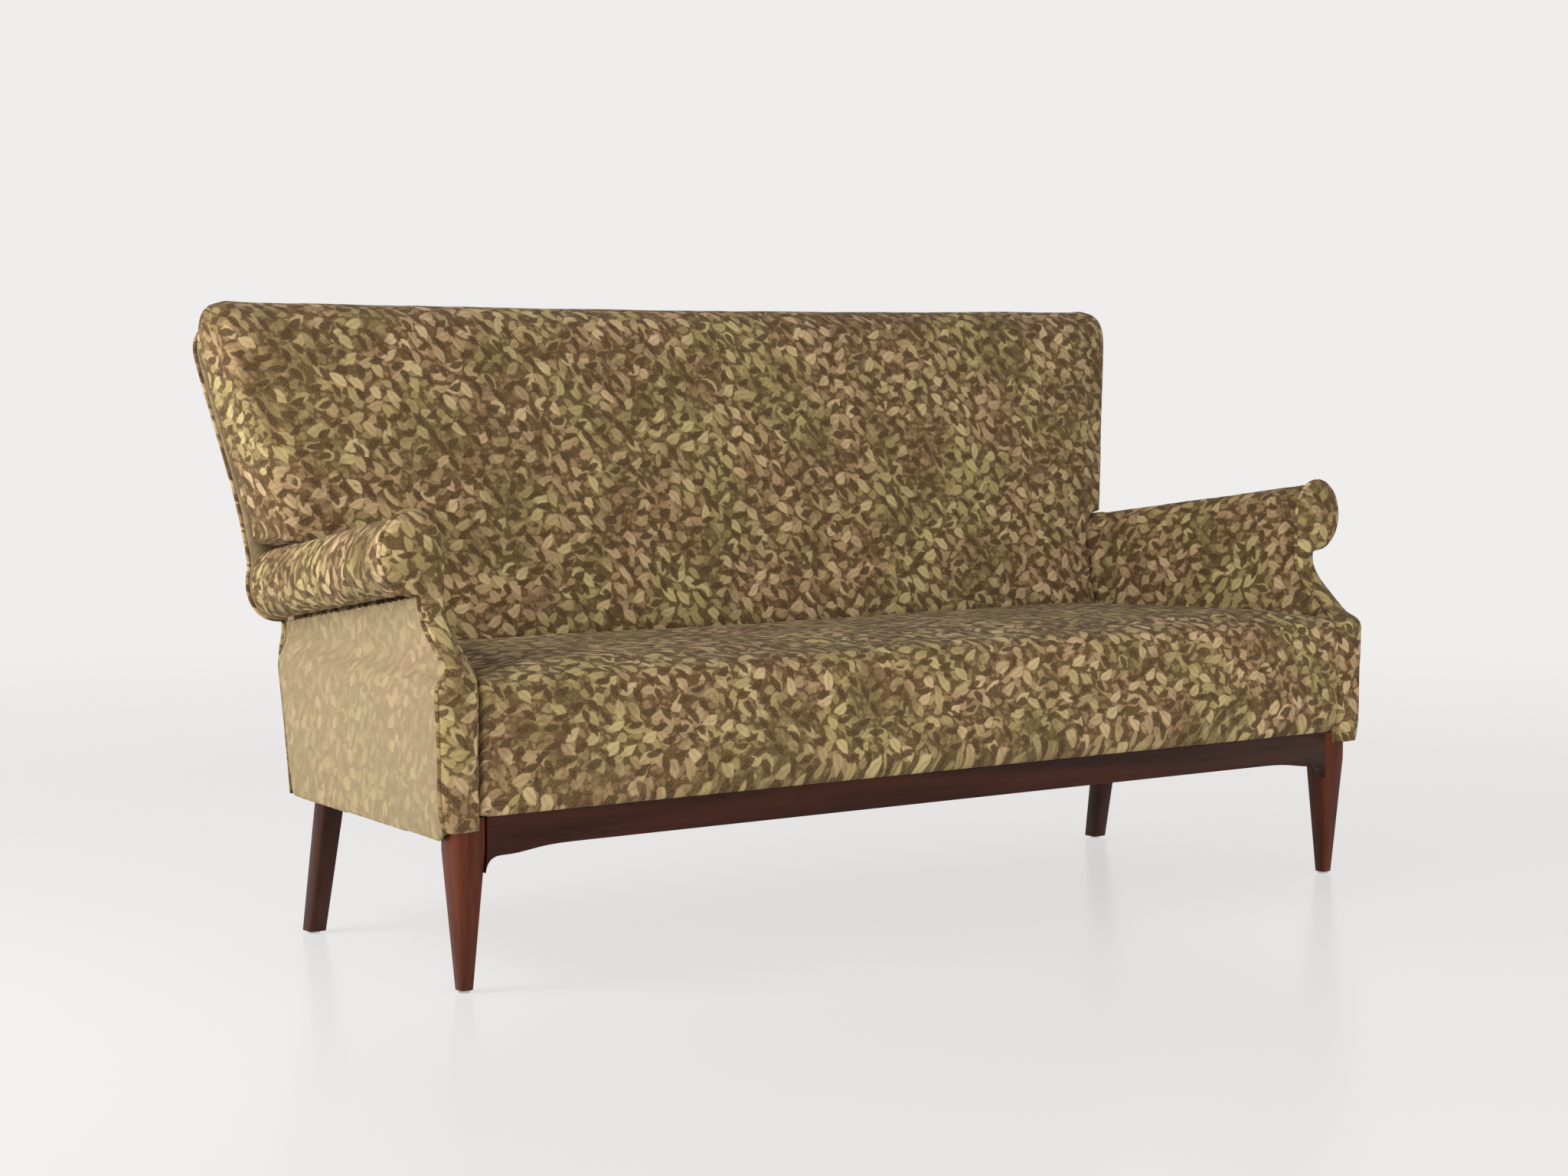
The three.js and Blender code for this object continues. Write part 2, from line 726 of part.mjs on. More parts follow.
function backWebbing() {
  const inset = backFrameDepth + gap;
  const half = strapWidth / 2;
  const lowest = lowerRailBottom + strapWidth;
  const highest = topRailBottom;
  const straps = [];
  for (const share of [0, 0.25, 0.5, 0.75, 1]) {
    const z = lerp(lowest, highest, share);
    straps.push(backMember(
      () => [-backPostOuter + gap, backPostOuter - gap], z - half, z + half, inset, strapThickness));
  }
  for (let k = -backStrapsEachSide; k <= backStrapsEachSide; k++) {
    const x = k * backStrapPitch;
    straps.push(backMember(
      () => [x - half, x + half], lowerRailBottom + gap, topRailTop - gap, inset, strapThickness));
  }
  return joined(...straps);
}

// One coil spring: an unbroken wire that narrows to a waist.
const springBottom = frameUnderside + gap;
const springTop = hessianTop - hessianThickness - gap;
const coilHeight = springTop - springBottom - springWire;

class Coil extends THREE.Curve {
  getPoint(share, target = new THREE.Vector3()) {
    const turn = 2 * Math.PI * springTurns * share;
    const radius = lerp(springWaistRadius, springEndRadius, (2 * share - 1) ** 2);
    return target.set(
      radius * Math.cos(turn), radius * Math.sin(turn), smoothstep(share, 0, 1) * coilHeight);
  }
}

function spring(x, y) {
  const wire = new THREE.Shape();
  for (let side = 0; side < springSides; side++) {
    const turn = 2 * Math.PI * side / springSides;
    const place = [springWire / 2 * Math.cos(turn), springWire / 2 * Math.sin(turn)];
    if (side === 0) {
      wire.moveTo(...place);
    } else {
      wire.lineTo(...place);
    }
  }
  const coil = new THREE.ExtrudeGeometry(wire, {
    extrudePath: new Coil(), steps: springTurns * springStepsPerTurn, bevelEnabled: false,
  });
  coil.computeBoundingBox();
  return coil.translate(x, y, springBottom - coil.boundingBox.min.z);
}

// The least gap between one turn of the wire and any later turn.
function leastSpringGap() {
  const points = new Coil().getPoints(springTurns * springStepsPerTurn * 4);
  const perTurn = springStepsPerTurn * 4;
  let least = Infinity;
  for (let i = 0; i < points.length; i++) {
    for (let j = i + perTurn / 2; j < points.length; j++) {
      least = Math.min(least, points[i].distanceTo(points[j]) - springWire);
    }
  }
  return least;
}

console.log(`least gap of a spring to itself: ${leastSpringGap().toFixed(1)} mm`);

function hessian() {
  const y0 = seatRailRear + gap;
  const y1 = backFront(hessianTop) - backCrown - overrun;
  const side = (y) => alongArm(armInner, y) - overrun;
  return planPrism(
    [[-side(y0), y0], [side(y0), y0], [side(y1), y1], [-side(y1), y1]],
    hessianTop - hessianThickness, hessianTop);
}

function dustCover() {
  const y0 = seatRailFront + gap;
  const y1 = frontLegTop / 2 + softGap;
  const y2 = backRear(frameUnderside) - coverThickness - dustCoverLap;
  const side = (y) => alongArm(railInner, y) + dustCoverLap;
  const nose = railEnd - softGap;
  const z1 = frameUnderside - 2 * gap - strapThickness;
  const cover = planPrism([
    [-nose, y0], [nose, y0], [nose, y1], [side(y1), y1],
    [side(y2), y2], [-side(y2), y2], [-side(y1), y1], [-nose, y1],
  ], z1 - dustCoverThickness, z1);
  const half = (rearLegTop + softGap) / 2 + gap;
  const room = block(
    rearLegTopX - half, rearLegTopX + half, rearLegTopY - half, rearLegTopY + half,
    frameUnderside - overrun, frameUnderside);
  return cut(cover, room, mirrored(room));
}

add('seat_webbing', seatWebbing(), jute);
add('back_webbing', backWebbing(), jute);
[springRowFront, springRowRear].forEach((y, row) => {
  for (let column = 0; column < springColumns; column++) {
    const x = (column - (springColumns - 1) / 2) * springPitch;
    add(`seat_spring_row${row + 1}_${column + 1}`, spring(x, y), springSteel);
  }
});
add('spring_hessian', hessian(), jute);
add('dust_cover', dustCover(), lining);

// Seat pad: a thick sheet over the springs whose front lip hangs down to the show-wood rail.
function seatPad() {
  const front = bodyFront - seatFrontBulge;
  const lipRear = seatRailFront - gap;
  const under = hessianTop + gap;
  const rearAt = (z) => backFront(z) - backCrown - softGap;
  const rim = seatHeight - seatEdgeRadius;
  const rearTop = seatHeight - seatRearDrop;
  const arc = [0, 30, 60, 90].map((degrees) => {
    const turn = degToRad(degrees);
    return [
      front + seatEdgeRadius * (1 - Math.cos(turn)), rim + seatEdgeRadius * Math.sin(turn)];
  });
  const topShares = [0.15, 0.4, 0.65, 0.88];
  const outer = [
    [front + seatFrontBulge, frontRailTop], [front + seatFrontBulge / 3, lerp(frontRailTop, rim, 0.2)],
    [front, lerp(frontRailTop, rim, 0.6)], ...arc,
    ...topShares.map((share) => [
      lerp(front + seatEdgeRadius, rearAt(rearTop), share), lerp(seatHeight, rearTop, share)]),
    [rearAt(rearTop) - seatEdgeRadius / 3, rearTop], [rearAt(rearTop), rearTop - seatEdgeRadius / 3],
  ];
  const inner = outer.map(([, z], i) => {
    if (i < 3) {
      return [lipRear, z];
    }
    const share = (i - 3) / (outer.length - 4);
    return [lerp(lipRear, rearAt(under), share), under];
  });
  const profile = [...outer, ...inner.reverse()];
  const stations = [-1, -0.98, -0.93, -0.8, -0.5, 0, 0.5, 0.8, 0.93, 0.98, 1];
  return loft(stations.map((share) => profile.map(([y, z]) => {
    const side = alongArm(armInner, y) - softGap;
    const onTop = Math.max(0, (z - under) / (seatHeight - under));
    const depthShare = Math.max(0, (y - front) / (rearAt(rearTop) - front));
    const crown = seatCrown * Math.sin(Math.PI * Math.min(1, depthShare)) * (1 - share ** 4);
    const dip = seatSideDip * share ** 12;
    return new THREE.Vector3(share * side, y, z + onTop * (crown - dip));
  })));
}

add('seat_pad', seatPad(), fabric);

// Arm pads, side covers and facings
function armPad() {
  return armLoft(
    (end) => [padProfile(end), padHollow(end)], [facingRelief / armLength, ...lengthShares]);
}

// The cover of the outer side, with its end turned in below the facing, beside the front leg.
function sideCover() {
  const cover = armLoft((end) => {
    const outer = sideProfile(end, sideCoverBottom[end]);
    const inner = outer.map(([x, z]) => {
      const neck = smoothstep(z, shoulderHeight[end], neckHeight[end]);
      return [x - lerp(coverThickness, neckCover, neck), z];
    });
    return [outer, inner];
  }, [0, ...lengthShares]);
  const besideLeg = frontFootX + frontLegTop / 2 + softGap;
  const front = bodyFront + facingThickness + 2 * gap;
  const turn = [sideCoverBottomFront, facingBottom, frontRailTop - gap].map((z) => level(
    besideLeg, halfWidthFront - tuck(FRONT, z) - coverThickness / 2, front, front + coverThickness, z));
  return joined(cover, loft(turn));
}

// How far a place on the facing lies in from its outline, which is round along the roll.
function facingInset(x, z, inner, outer) {
  const onRoll = z > rollMiddle[FRONT] || (z > rollUnder[FRONT] && x > rollAxis[FRONT]);
  if (!onRoll) {
    return Math.min(x - inner, outer - x);
  }
  const across = (x - rollAxis[FRONT]) / rollReach[FRONT];
  const up = (z - rollMiddle[FRONT]) / rollRise[FRONT];
  return Math.max(0, 1 - Math.hypot(across, up)) * rollReach[FRONT];
}

// The facing as rungs between its inner and outer edges, from the bottom to the top of the roll.
// Its front falls away toward the outline in a round.
function armFacing() {
  const rungs = facingEdgeLine.map(([x, z]) => [
    z > rollMiddle[FRONT] ? 2 * rollAxis[FRONT] - x : armInner[FRONT], x, z,
  ]);
  const edgeShares = [0, 0.2, 1];
  const columns = [
    ...edgeShares.map((share) => [0, share]), ...edgeShares.map((share) => [1, -share]).reverse(),
  ];
  return loft(columns.map(([side, share]) => {
    const place = ([inner, outer, z], onFront) => {
      const x = lerp(inner, outer, side) + share * Math.min(facingEdge, (outer - inner) / 3);
      const inset = Math.min(1, facingInset(x, z, inner, outer) / facingEdge);
      const depth = onFront ? facingRound * roundDrop(inset, 1) : facingThickness;
      return new THREE.Vector3(x, facingFront(z) + depth, z);
    };
    return [
      ...rungs.map((rung) => place(rung, true)),
      ...rungs.map((rung) => place(rung, false)).reverse(),
    ];
  }));
}

addPair('arm_pad', armPad(), fabric);
addPair('side_cover', sideCover(), fabric);
addPair('arm_facing', armFacing(), fabric);

// Back pad: the whole upholstered back, hollowed for its frame and notched round the arms.
function backShell() {
  const half = backHalfWidth(backTop);
  const cornerShares = [0, 0.04, 0.14, 0.32, 0.58, 1].map(
    (share) => 1 - share * backCornerRadius / half);
  const right = [0, 0.3, 0.6, 0.82, ...cornerShares.reverse()];
  const stations = [...right.slice(1).reverse().map((share) => -share), ...right];
  const heightShares = [0, 0.14, 0.3, 0.46, 0.62, 0.76, 0.88, 0.96];
  const arcDegrees = [0, 25, 50, 72];
  return loft(stations.map((share) => {
    const inset = (1 - Math.abs(share)) * half;
    const drop = roundDrop(inset, backCornerRadius);
    const top = backTop - backSag * (1 - share ** 2) - drop;
    const topRound = Math.min(backTopRound, (top - backPadBottom) / 2);
    const springLine = top - topRound;
    const front = [];
    const rear = [];
    const push = (z, shrink) => {
      const heightShare = (z - backPadBottom) / (top - backPadBottom);
      const crown = backCrown * Math.sin(Math.PI * Math.min(1, heightShare)) * (1 - share ** 4);
      const x = share * backHalfWidth(z);
      const near = backFront(z) - crown + roundDrop(inset, backSideRound);
      const far = backRear(z) - coverThickness - gap;
      const middle = (near + far) / 2;
      front.push(new THREE.Vector3(x, lerp(middle, near, shrink), z));
      rear.push(new THREE.Vector3(x, lerp(middle, far, shrink), z));
    };
    heightShares.forEach((height) => push(lerp(backPadBottom, springLine, height), 1));
    arcDegrees.forEach((degrees) => {
      const turn = degToRad(degrees);
      push(springLine + topRound * Math.sin(turn), Math.cos(turn));
    });
    return [...front, ...rear.reverse()];
  }));
}

// How far a round edge falls back at a distance in from the edge.
function roundDrop(distance, radius) {
  const inside = Math.max(0, radius - distance);
  return radius - Math.sqrt(radius ** 2 - inside ** 2);
}

function backHollow() {
  const levels = [
    [backPadBottom - overrun, backPadSide], [flareHeight, backPadSide],
    [backTop - backCornerRadius, backPadSide], [backTop - backPadTop, backPadCorner],
  ];
  return loft(levels.map(([z, side]) => {
    const half = backHalfWidth(z) - side;
    const front = backRear(z) - coverThickness - backFrameDepth - strapThickness - 4 * gap;
    return level(-half, half, front, backRear(z) + overrun, z);
  }));
}

// The room that an arm takes, from its inner face outward.
function armRoom() {
  return armLoft((end) => {
    const inner = armInner[end] - softGap;
    const far = rollTip[end] + backCornerRadius;
    const arch = [];
    for (let k = 0; k <= rollSteps / 2; k++) {
      arch.push(rollPoint(end, lerp(Math.PI, Math.PI / 2, 2 * k / rollSteps), softGap));
    }
    const near = [[inner, backPadBottom - overrun], ...arch.map(([x, z]) => [Math.max(x, inner), z])];
    return [near, near.map(([, z]) => [far, z])];
  }, [0, 1 + overrun / armLength]);
}

function backPad() {
  const room = armRoom();
  return cut(backShell(), backHollow(), room, mirrored(room));
}

// Outside back: a thin cover over the whole rear, as wide as what it closes at each height.
function outsideBack() {
  const sides = sideProfile(REAR, rearCoverBottom);
  const rollEdge = [-90, -65, -40, -15, 10, 35].map(degToRad).map((angle) => rollPoint(REAR, angle));
  const crest = backTop - backTopRound;
  const cornerStart = crest - backCornerRadius;
  const backEdge = [
    ...[0.25, 0.5, 0.75, 1].map((share) => lerp(rollTopRear, cornerStart, share)),
    ...[0.4, 0.75, 1].map((share) => lerp(cornerStart, crest - backSag, share)),
  ].map((z) => [backHalfWidth(z) - roundDrop(crest - z, backCornerRadius), z]);
  const edge = [...sides, ...rollEdge, ...backEdge];
  return loft(edge.map(([x, z]) => level(-x, x, backRear(z) - coverThickness, backRear(z), z)));
}

add('inside_back', backPad(), fabric);
add('outside_back', outsideBack(), fabric);

// The origin is the middle of the settee's footprint, on the floor.
const bounds = new THREE.Box3().setFromObject(settee);
settee.position.y = -(bounds.min.y + bounds.max.y) / 2;

export default settee;
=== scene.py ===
"""An upholstered settee with rolled arms, a flared back, a tight seat and a polished front rail.

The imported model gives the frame. Here it gets its stuffed covers, welts, polished wood and woven
cloth. Everything is in metres: X runs along the settee, Y from the front to the rear and Z upward
from the floor. Angles are in radians unless a name says degrees.
"""
import math

import bmesh
import bpy
import numpy as np
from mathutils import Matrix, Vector, noise
from mathutils.bvhtree import BVHTree


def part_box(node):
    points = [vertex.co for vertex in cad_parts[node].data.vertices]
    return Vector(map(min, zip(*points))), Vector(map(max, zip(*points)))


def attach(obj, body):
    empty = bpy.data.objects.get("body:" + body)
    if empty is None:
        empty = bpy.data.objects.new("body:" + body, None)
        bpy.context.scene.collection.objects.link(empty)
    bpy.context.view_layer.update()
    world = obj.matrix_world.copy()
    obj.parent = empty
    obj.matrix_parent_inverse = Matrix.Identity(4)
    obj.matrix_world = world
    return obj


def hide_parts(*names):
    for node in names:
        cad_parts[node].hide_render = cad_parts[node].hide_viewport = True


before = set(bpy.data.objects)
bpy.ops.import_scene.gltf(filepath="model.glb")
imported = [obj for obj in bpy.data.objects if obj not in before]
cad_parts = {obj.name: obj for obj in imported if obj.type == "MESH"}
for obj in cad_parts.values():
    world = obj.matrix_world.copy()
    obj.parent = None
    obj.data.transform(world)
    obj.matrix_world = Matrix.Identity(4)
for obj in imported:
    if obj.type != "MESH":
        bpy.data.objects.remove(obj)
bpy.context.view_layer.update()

# Photograph
IMAGE_WIDTH = 2048
FOCAL_PIXELS = 4048
CAMERA_PLACE = Vector((-2.751, -3.660, 0.798))
CAMERA_TURN_DEGREES = 36.4
CAMERA_DIP_DEGREES = 4.19
SENSOR_WIDTH = 36.0

SIDES = ("left", "right")

# The body's outline below the arms, which narrows toward the rear, and how much the back leans for
# each metre of height
SIDE_AT_FRONT = 0.822
SIDE_TAPER = -0.1398
REAR_AT_WAIST = 0.2955
REAR_LEAN = 0.2
REAR_HALF_WIDTH = 0.740
WAIST = 0.430
BODY_CORNER = 0.020
CORNER_CUTS = (0.003, 0.007, 0.012, BODY_CORNER)
BACK_LEAN = 0.241

# The arm's roll: its tip and top at the rear end, its half width and half height at the front and
# at the rear, and the length of cloth round it for each radian
ROLL_TIP_REAR = 0.772
ROLL_TOP_REAR = 0.532
ROLL_REACHES = (0.0455, 0.040)
ROLL_RISES = (0.0535, 0.050)
ROLL_GIRTH = 0.048

# Stuffing and covers
PAD_VOXEL = 0.0075
ARM_VOXEL = 0.0055
COVER_VOXEL = 0.0030
REAR_NET = 0.03
PAD_INSET = 0.004
DRAW_IN = 0.004
PRESSURE = 4.0
SIMULATION_FRAMES = 20
TOUCHING = 0.007
COVER_RIPPLE = 0.0009
SIDE_RIPPLE = 0.0008
RIPPLE_LENGTH = 0.11
WELT_RADIUS = 0.0030

# Points closer than this are one
NODE_MERGED = 0.00003
MERGED = 0.00001

# The side cover's hem: how far its front corner is drawn up, and over how much depth and height
HEM_RISE = 0.018
HEM_RISE_DEPTH = 0.030
HEM_RISE_START = 0.035
HEM_RISE_TOP = 0.262
HEM_RISE_HEIGHT = 0.070

# Dust cover
LINING_SAG = 0.004
LINING_THICKNESS = 0.0006
LINING_STRIPS = (32, 12)

# Polished wood
WOOD_BEVEL = 0.0016
BEVELLED_ANGLE = math.radians(28)
FLAT_ANGLE = math.radians(1)

# The woven cover: the pitch of its threads and of each layer of leaves, and how far a leaf turns
# from one way of leaning to the other
YARN = 0.0023
FLECK_PITCH = 0.0095
UNDER_LEAF_PITCH = 0.0205
OVER_LEAF_PITCH = 0.0280
DARK_LEAF_PITCH = 0.0265
LEAF_SWING = 1.9

# Where the cloth's pattern starts on the pieces that don't share the seat's or the back's
SIDE_PATTERN_SHIFT = 0.4
FACING_PATTERN_SHIFT = 0.21
REAR_PATTERN_SHIFT = 0.9

# Colours, as linear red, green and blue. Two in one name are mixed, by chance from leaf to leaf or
# by the grain of the wood.
SEAT_MIDDLE = (0.280, 0.188, 0.090)
SIDE_MIDDLE = (0.390, 0.300, 0.172)
BROWN_GROUND = (0.112, 0.055, 0.018)
OLIVE_GROUND = (0.108, 0.069, 0.020)
FLECKS = ((0.058, 0.031, 0.012), (0.330, 0.214, 0.105))
UNDER_TANS = ((0.490, 0.328, 0.172), (0.335, 0.210, 0.110))
UNDER_OLIVES = ((0.440, 0.336, 0.140), (0.325, 0.247, 0.093))
OVER_TANS = ((0.700, 0.505, 0.282), (0.480, 0.322, 0.170))
OVER_OLIVES = ((0.625, 0.490, 0.228), (0.450, 0.350, 0.140))
DARK_LEAF = (0.062, 0.029, 0.008)
MIDRIB = (0.180, 0.110, 0.048)
THREAD_GAP = (0.030, 0.017, 0.007)
PALE_SLUB = (0.560, 0.415, 0.235)
# The rail's wood is the legs' mahogany painted darker: painted shade on the rail's front, which
# gets less light than the legs' lit sides
SHADED_RAIL_WOOD = ((0.020, 0.0050, 0.0020), (0.046, 0.0125, 0.0052))
LEG_WOOD = ((0.058, 0.0125, 0.0052), (0.118, 0.0285, 0.0120))
REAR_LEG_WOOD = ((0.028, 0.0090, 0.0050), (0.060, 0.0200, 0.0110))
BACKDROP = (0.860, 0.850, 0.840)
FLOOR = (0.79, 0.77, 0.75)

# Studio: the share of the backdrop's colour in the floor near the settee, how far off the floor
# becomes the backdrop, and the strength of the light from all round
FLOOR_SHOWN = 0.71
FLOOR_FADE = (1.4, 4.5)
FLOOR_SIZE = 60
ROOM_LIGHT = 0.46


# Finishes

class Value:
    """A socket in a finish. Arithmetic on it adds Math nodes."""

    def __init__(self, finish, socket):
        self.finish = finish
        self.socket = socket

    def __add__(self, other):
        return self.finish.math("ADD", self, other)

    def __radd__(self, other):
        return self.finish.math("ADD", other, self)

    def __sub__(self, other):
        return self.finish.math("SUBTRACT", self, other)

    def __rsub__(self, other):
        return self.finish.math("SUBTRACT", other, self)

    def __mul__(self, other):
        return self.finish.math("MULTIPLY", self, other)

    def __rmul__(self, other):
        return self.finish.math("MULTIPLY", other, self)

    def __truediv__(self, other):
        return self.finish.math("DIVIDE", self, other)

    def __abs__(self):
        return self.finish.math("ABSOLUTE", self)

    def sine(self):
        return self.finish.math("SINE", self)

    def ramp(self, low, high):
        """Rises smoothly from 0 at low to 1 at high."""
        return self.finish.node("ShaderNodeMapRange", {"interpolation_type": "SMOOTHSTEP"}, {
            "Value": self, "From Min": low, "From Max": high})


class Finish:
    """A material made of nodes, with one Principled shader at its end. That shader's sockets are
    named with underscores for spaces."""

    def __init__(self, name, **constants):
        self.material = bpy.data.materials.new(name)
        self.material.use_nodes = True
        self.tree = self.material.node_tree
        self.shader = self.tree.nodes["Principled BSDF"]
        for socket, value in constants.items():
            self.shader.inputs[socket.replace("_", " ")].default_value = value

    def node(self, kind, settings=None, inputs=None, output=0):
        """Adds a node and gives one of its outputs."""
        made = self.tree.nodes.new(kind)
        for name, value in (settings or {}).items():
            setattr(made, name, value)
        for key, value in (inputs or {}).items():
            if isinstance(value, Value):
                self.tree.links.new(value.socket, made.inputs[key])
            else:
                made.inputs[key].default_value = value
        return Value(self, made.outputs[output])

    def math(self, operation, *values):
        return self.node("ShaderNodeMath", {"operation": operation}, dict(enumerate(values)))

    def vector(self, operation, first, second=None, scale=None):
        """Vector maths, with a second vector or a scale."""
        inputs = {0: first}
        if second is not None:
            inputs[1] = second
        if scale is not None:
            inputs["Scale"] = scale
        return self.node("ShaderNodeVectorMath", {"operation": operation}, inputs)

    def mix(self, share, first, second):
        """Two colours mixed. A Mix node has its colours in sockets 6 and 7 and gives them in 2."""
        first, second = (c if isinstance(c, Value) else (*c, 1) for c in (first, second))
        return self.node("ShaderNodeMix", {"data_type": "RGBA"}, {
            0: share, 6: first, 7: second}, output=2)

    def separate(self, vector):
        made = self.node("ShaderNodeSeparateXYZ", None, {0: vector}).socket.node
        return [Value(self, socket) for socket in made.outputs]

    def place(self, uv=None):
        """Object coordinates, or a named UV map's."""
        if uv:
            return self.node("ShaderNodeUVMap", {"uv_map": uv})
        return self.node("ShaderNodeTexCoord", output=3)

    def clouds(self, place, size, detail=2.0, roughness=0.5, flat=True):
        settings = {"noise_dimensions": "2D" if flat else "3D"}
        return self.node("ShaderNodeTexNoise", settings, {
            "Vector": place, "Scale": 1 / size, "Detail": detail, "Roughness": roughness})

    def bump(self, height, distance, strength, under=None):
        """Relief, on top of another relief if there is one under it."""
        inputs = {"Height": height, "Distance": distance, "Strength": strength}
        if under is not None:
            inputs["Normal"] = under
        return self.node("ShaderNodeBump", None, inputs)

    def wear(self, **surface):
        """Feeds the shader's changing sockets."""
        for socket, value in surface.items():
            self.tree.links.new(value.socket, self.shader.inputs[socket.replace("_", " ")])
        return self.material


def scattered_leaves(finish, place, pitch, offset, half_length, half_width, turn=0.0):
    """One leaf to each cell of a loose, turned grid, leaning either way: its mask, its own random
    number and its midrib. Its half length and half width are shares of the grid's pitch."""
    moved = finish.vector("ADD", place, offset)
    grid = finish.node("ShaderNodeVectorRotate", {"rotation_type": "Z_AXIS"}, {
        "Vector": finish.vector("SCALE", moved, scale=1 / pitch), "Angle": turn})
    cell = finish.node("ShaderNodeTexVoronoi", {"voronoi_dimensions": "2D"}, {
        "Vector": grid, "Scale": 1.0, "Randomness": 0.55}).socket.node
    chance = finish.node(
        "ShaderNodeSeparateColor", None, {0: Value(finish, cell.outputs["Color"])})
    other = Value(finish, chance.socket.node.outputs[1])
    spin = chance.ramp(0.46, 0.54) * LEAF_SWING - LEAF_SWING / 2 - turn + other * 0.5
    local = finish.vector("SUBTRACT", grid, Value(finish, cell.outputs["Position"]))
    turned = finish.node("ShaderNodeVectorRotate", {"rotation_type": "Z_AXIS"}, {
        "Vector": local, "Angle": spin})
    across, along, _ = finish.separate(turned)
    share = along / half_length
    outline = (1 - share * share) * half_width - abs(across + share * share * (half_width * 0.35))
    mask = outline.ramp(-0.03, 0.05)
    midrib = 1 - abs(across).ramp(0.0, 0.06)
    return mask, other, midrib


def cover_cloth(name, contrast, middle):
    """A woven cover: pale leaves in tan, ochre and olive, close together on a dark brown ground.

    Every colour is drawn toward the middle one as the contrast falls."""
    finish = Finish(name, Sheen_Weight=0.05, Sheen_Roughness=0.5, Specular_IOR_Level=0.12)
    flat = finish.place("cloth")
    wander = finish.clouds(flat, 0.030)
    fray = finish.clouds(flat, 0.0030)
    push = finish.vector("SCALE", finish.node("ShaderNodeCombineXYZ", None, {
        0: wander + fray * 0.2, 1: 0.6 - wander + fray * 0.2}), scale=0.010)
    drawn = finish.vector("SNAP", finish.vector("ADD", flat, push), (YARN / 2, YARN / 2, YARN / 2))
    olive = finish.clouds(flat, 0.13).ramp(0.38, 0.62)
    deep = finish.clouds(finish.vector("ADD", flat, (3.1, 1.7, 0.0)), 0.11, 3.0).ramp(0.42, 0.60)

    def shade(colour):
        return tuple(m + (c - m) * contrast for c, m in zip(colour, middle))

    ground = finish.mix(olive, shade(BROWN_GROUND), shade(OLIVE_GROUND))
    flecks, fleck_chance, _ = scattered_leaves(
        finish, drawn, FLECK_PITCH, (0.37, 0.81, 0.0), half_length=0.50, half_width=0.30)
    ground = finish.mix(flecks * 0.8, ground, finish.mix(fleck_chance, *map(shade, FLECKS)))

    def leaves(pitch, offset, turn, tans, olives):
        mask, chance, rib = scattered_leaves(
            finish, drawn, pitch, offset, half_length=0.52, half_width=0.27, turn=turn)
        warm = finish.mix(chance.ramp(0.2, 0.8), *map(shade, tans))
        cool = finish.mix(chance.ramp(0.2, 0.8), *map(shade, olives))
        leaf = finish.mix(rib * 0.4, finish.mix(olive, warm, cool), shade(MIDRIB))
        return mask * (1 - deep * (0.25 + chance * 0.65)), leaf

    under_mask, under = leaves(
        UNDER_LEAF_PITCH, (1.73, 0.41, 0.0), -0.62, UNDER_TANS, UNDER_OLIVES)
    over_mask, over = leaves(OVER_LEAF_PITCH, (0.0, 0.0, 0.0), 0.38, OVER_TANS, OVER_OLIVES)
    dark, dark_chance, _ = scattered_leaves(
        finish, drawn, DARK_LEAF_PITCH, (1.13, 0.29, 0.0), half_length=0.50, half_width=0.21,
        turn=0.95)
    dark_share = dark * (dark_chance + deep * 0.35).ramp(0.36, 0.46) * 0.92

    colour = finish.mix(under_mask * 0.85, ground, under)
    colour = finish.mix(over_mask * 0.92, colour, over)
    colour = finish.mix(dark_share, colour, shade(DARK_LEAF))

    across, along, _ = finish.separate(flat)
    warp = (across * (2 * math.pi / YARN)).sine()
    weft = (along * (2 * math.pi / YARN)).sine()
    weave = warp * weft * 0.5 + 0.5
    yarn = finish.clouds(flat, 0.0018)
    slub = yarn.ramp(0.30, 0.72)
    colour = finish.mix(weave * 0.22, colour, shade(THREAD_GAP))
    colour = finish.mix(slub * 0.16, colour, shade(PALE_SLUB))
    relief = finish.bump(over_mask * 0.6 + under_mask * 0.4, 0.0005, 0.5)
    relief = finish.bump(weave * 0.7 + yarn * 0.5, 0.0007, 0.8, relief)
    return finish.wear(Base_Color=colour, Roughness=0.96 - slub * 0.08, Normal=relief)


def polished_wood(name, grain_axis, dark, light):
    """Stained and lacquered wood whose grain runs along one axis, 0, 1 or 2."""
    finish = Finish(name, Coat_Weight=0.06, Coat_Roughness=0.20, Specular_IOR_Level=0.14)
    stretch = [1.0, 1.0, 1.0]
    stretch[grain_axis] = 0.07
    place = finish.node("ShaderNodeMapping", None, {"Vector": finish.place(), "Scale": stretch})
    figure = finish.clouds(place, 0.028, 4.0, 0.6, flat=False)
    pores = finish.clouds(place, 0.0024, 3.0, 0.7, flat=False)
    streak = figure.ramp(0.32, 0.68)
    pore = pores.ramp(0.56, 0.70)
    colour = finish.mix(streak, dark, light)
    colour = finish.mix(pore * 0.55, colour, tuple(channel * 0.35 for channel in dark))
    rub = finish.clouds(finish.place(), 0.09, 3.0, 0.6, flat=False)
    rough = 0.30 + rub * 0.16 + pore * 0.12
    relief = finish.bump(1 - pore, 0.00018, 0.7)
    return finish.wear(Base_Color=colour, Roughness=rough, Normal=relief)


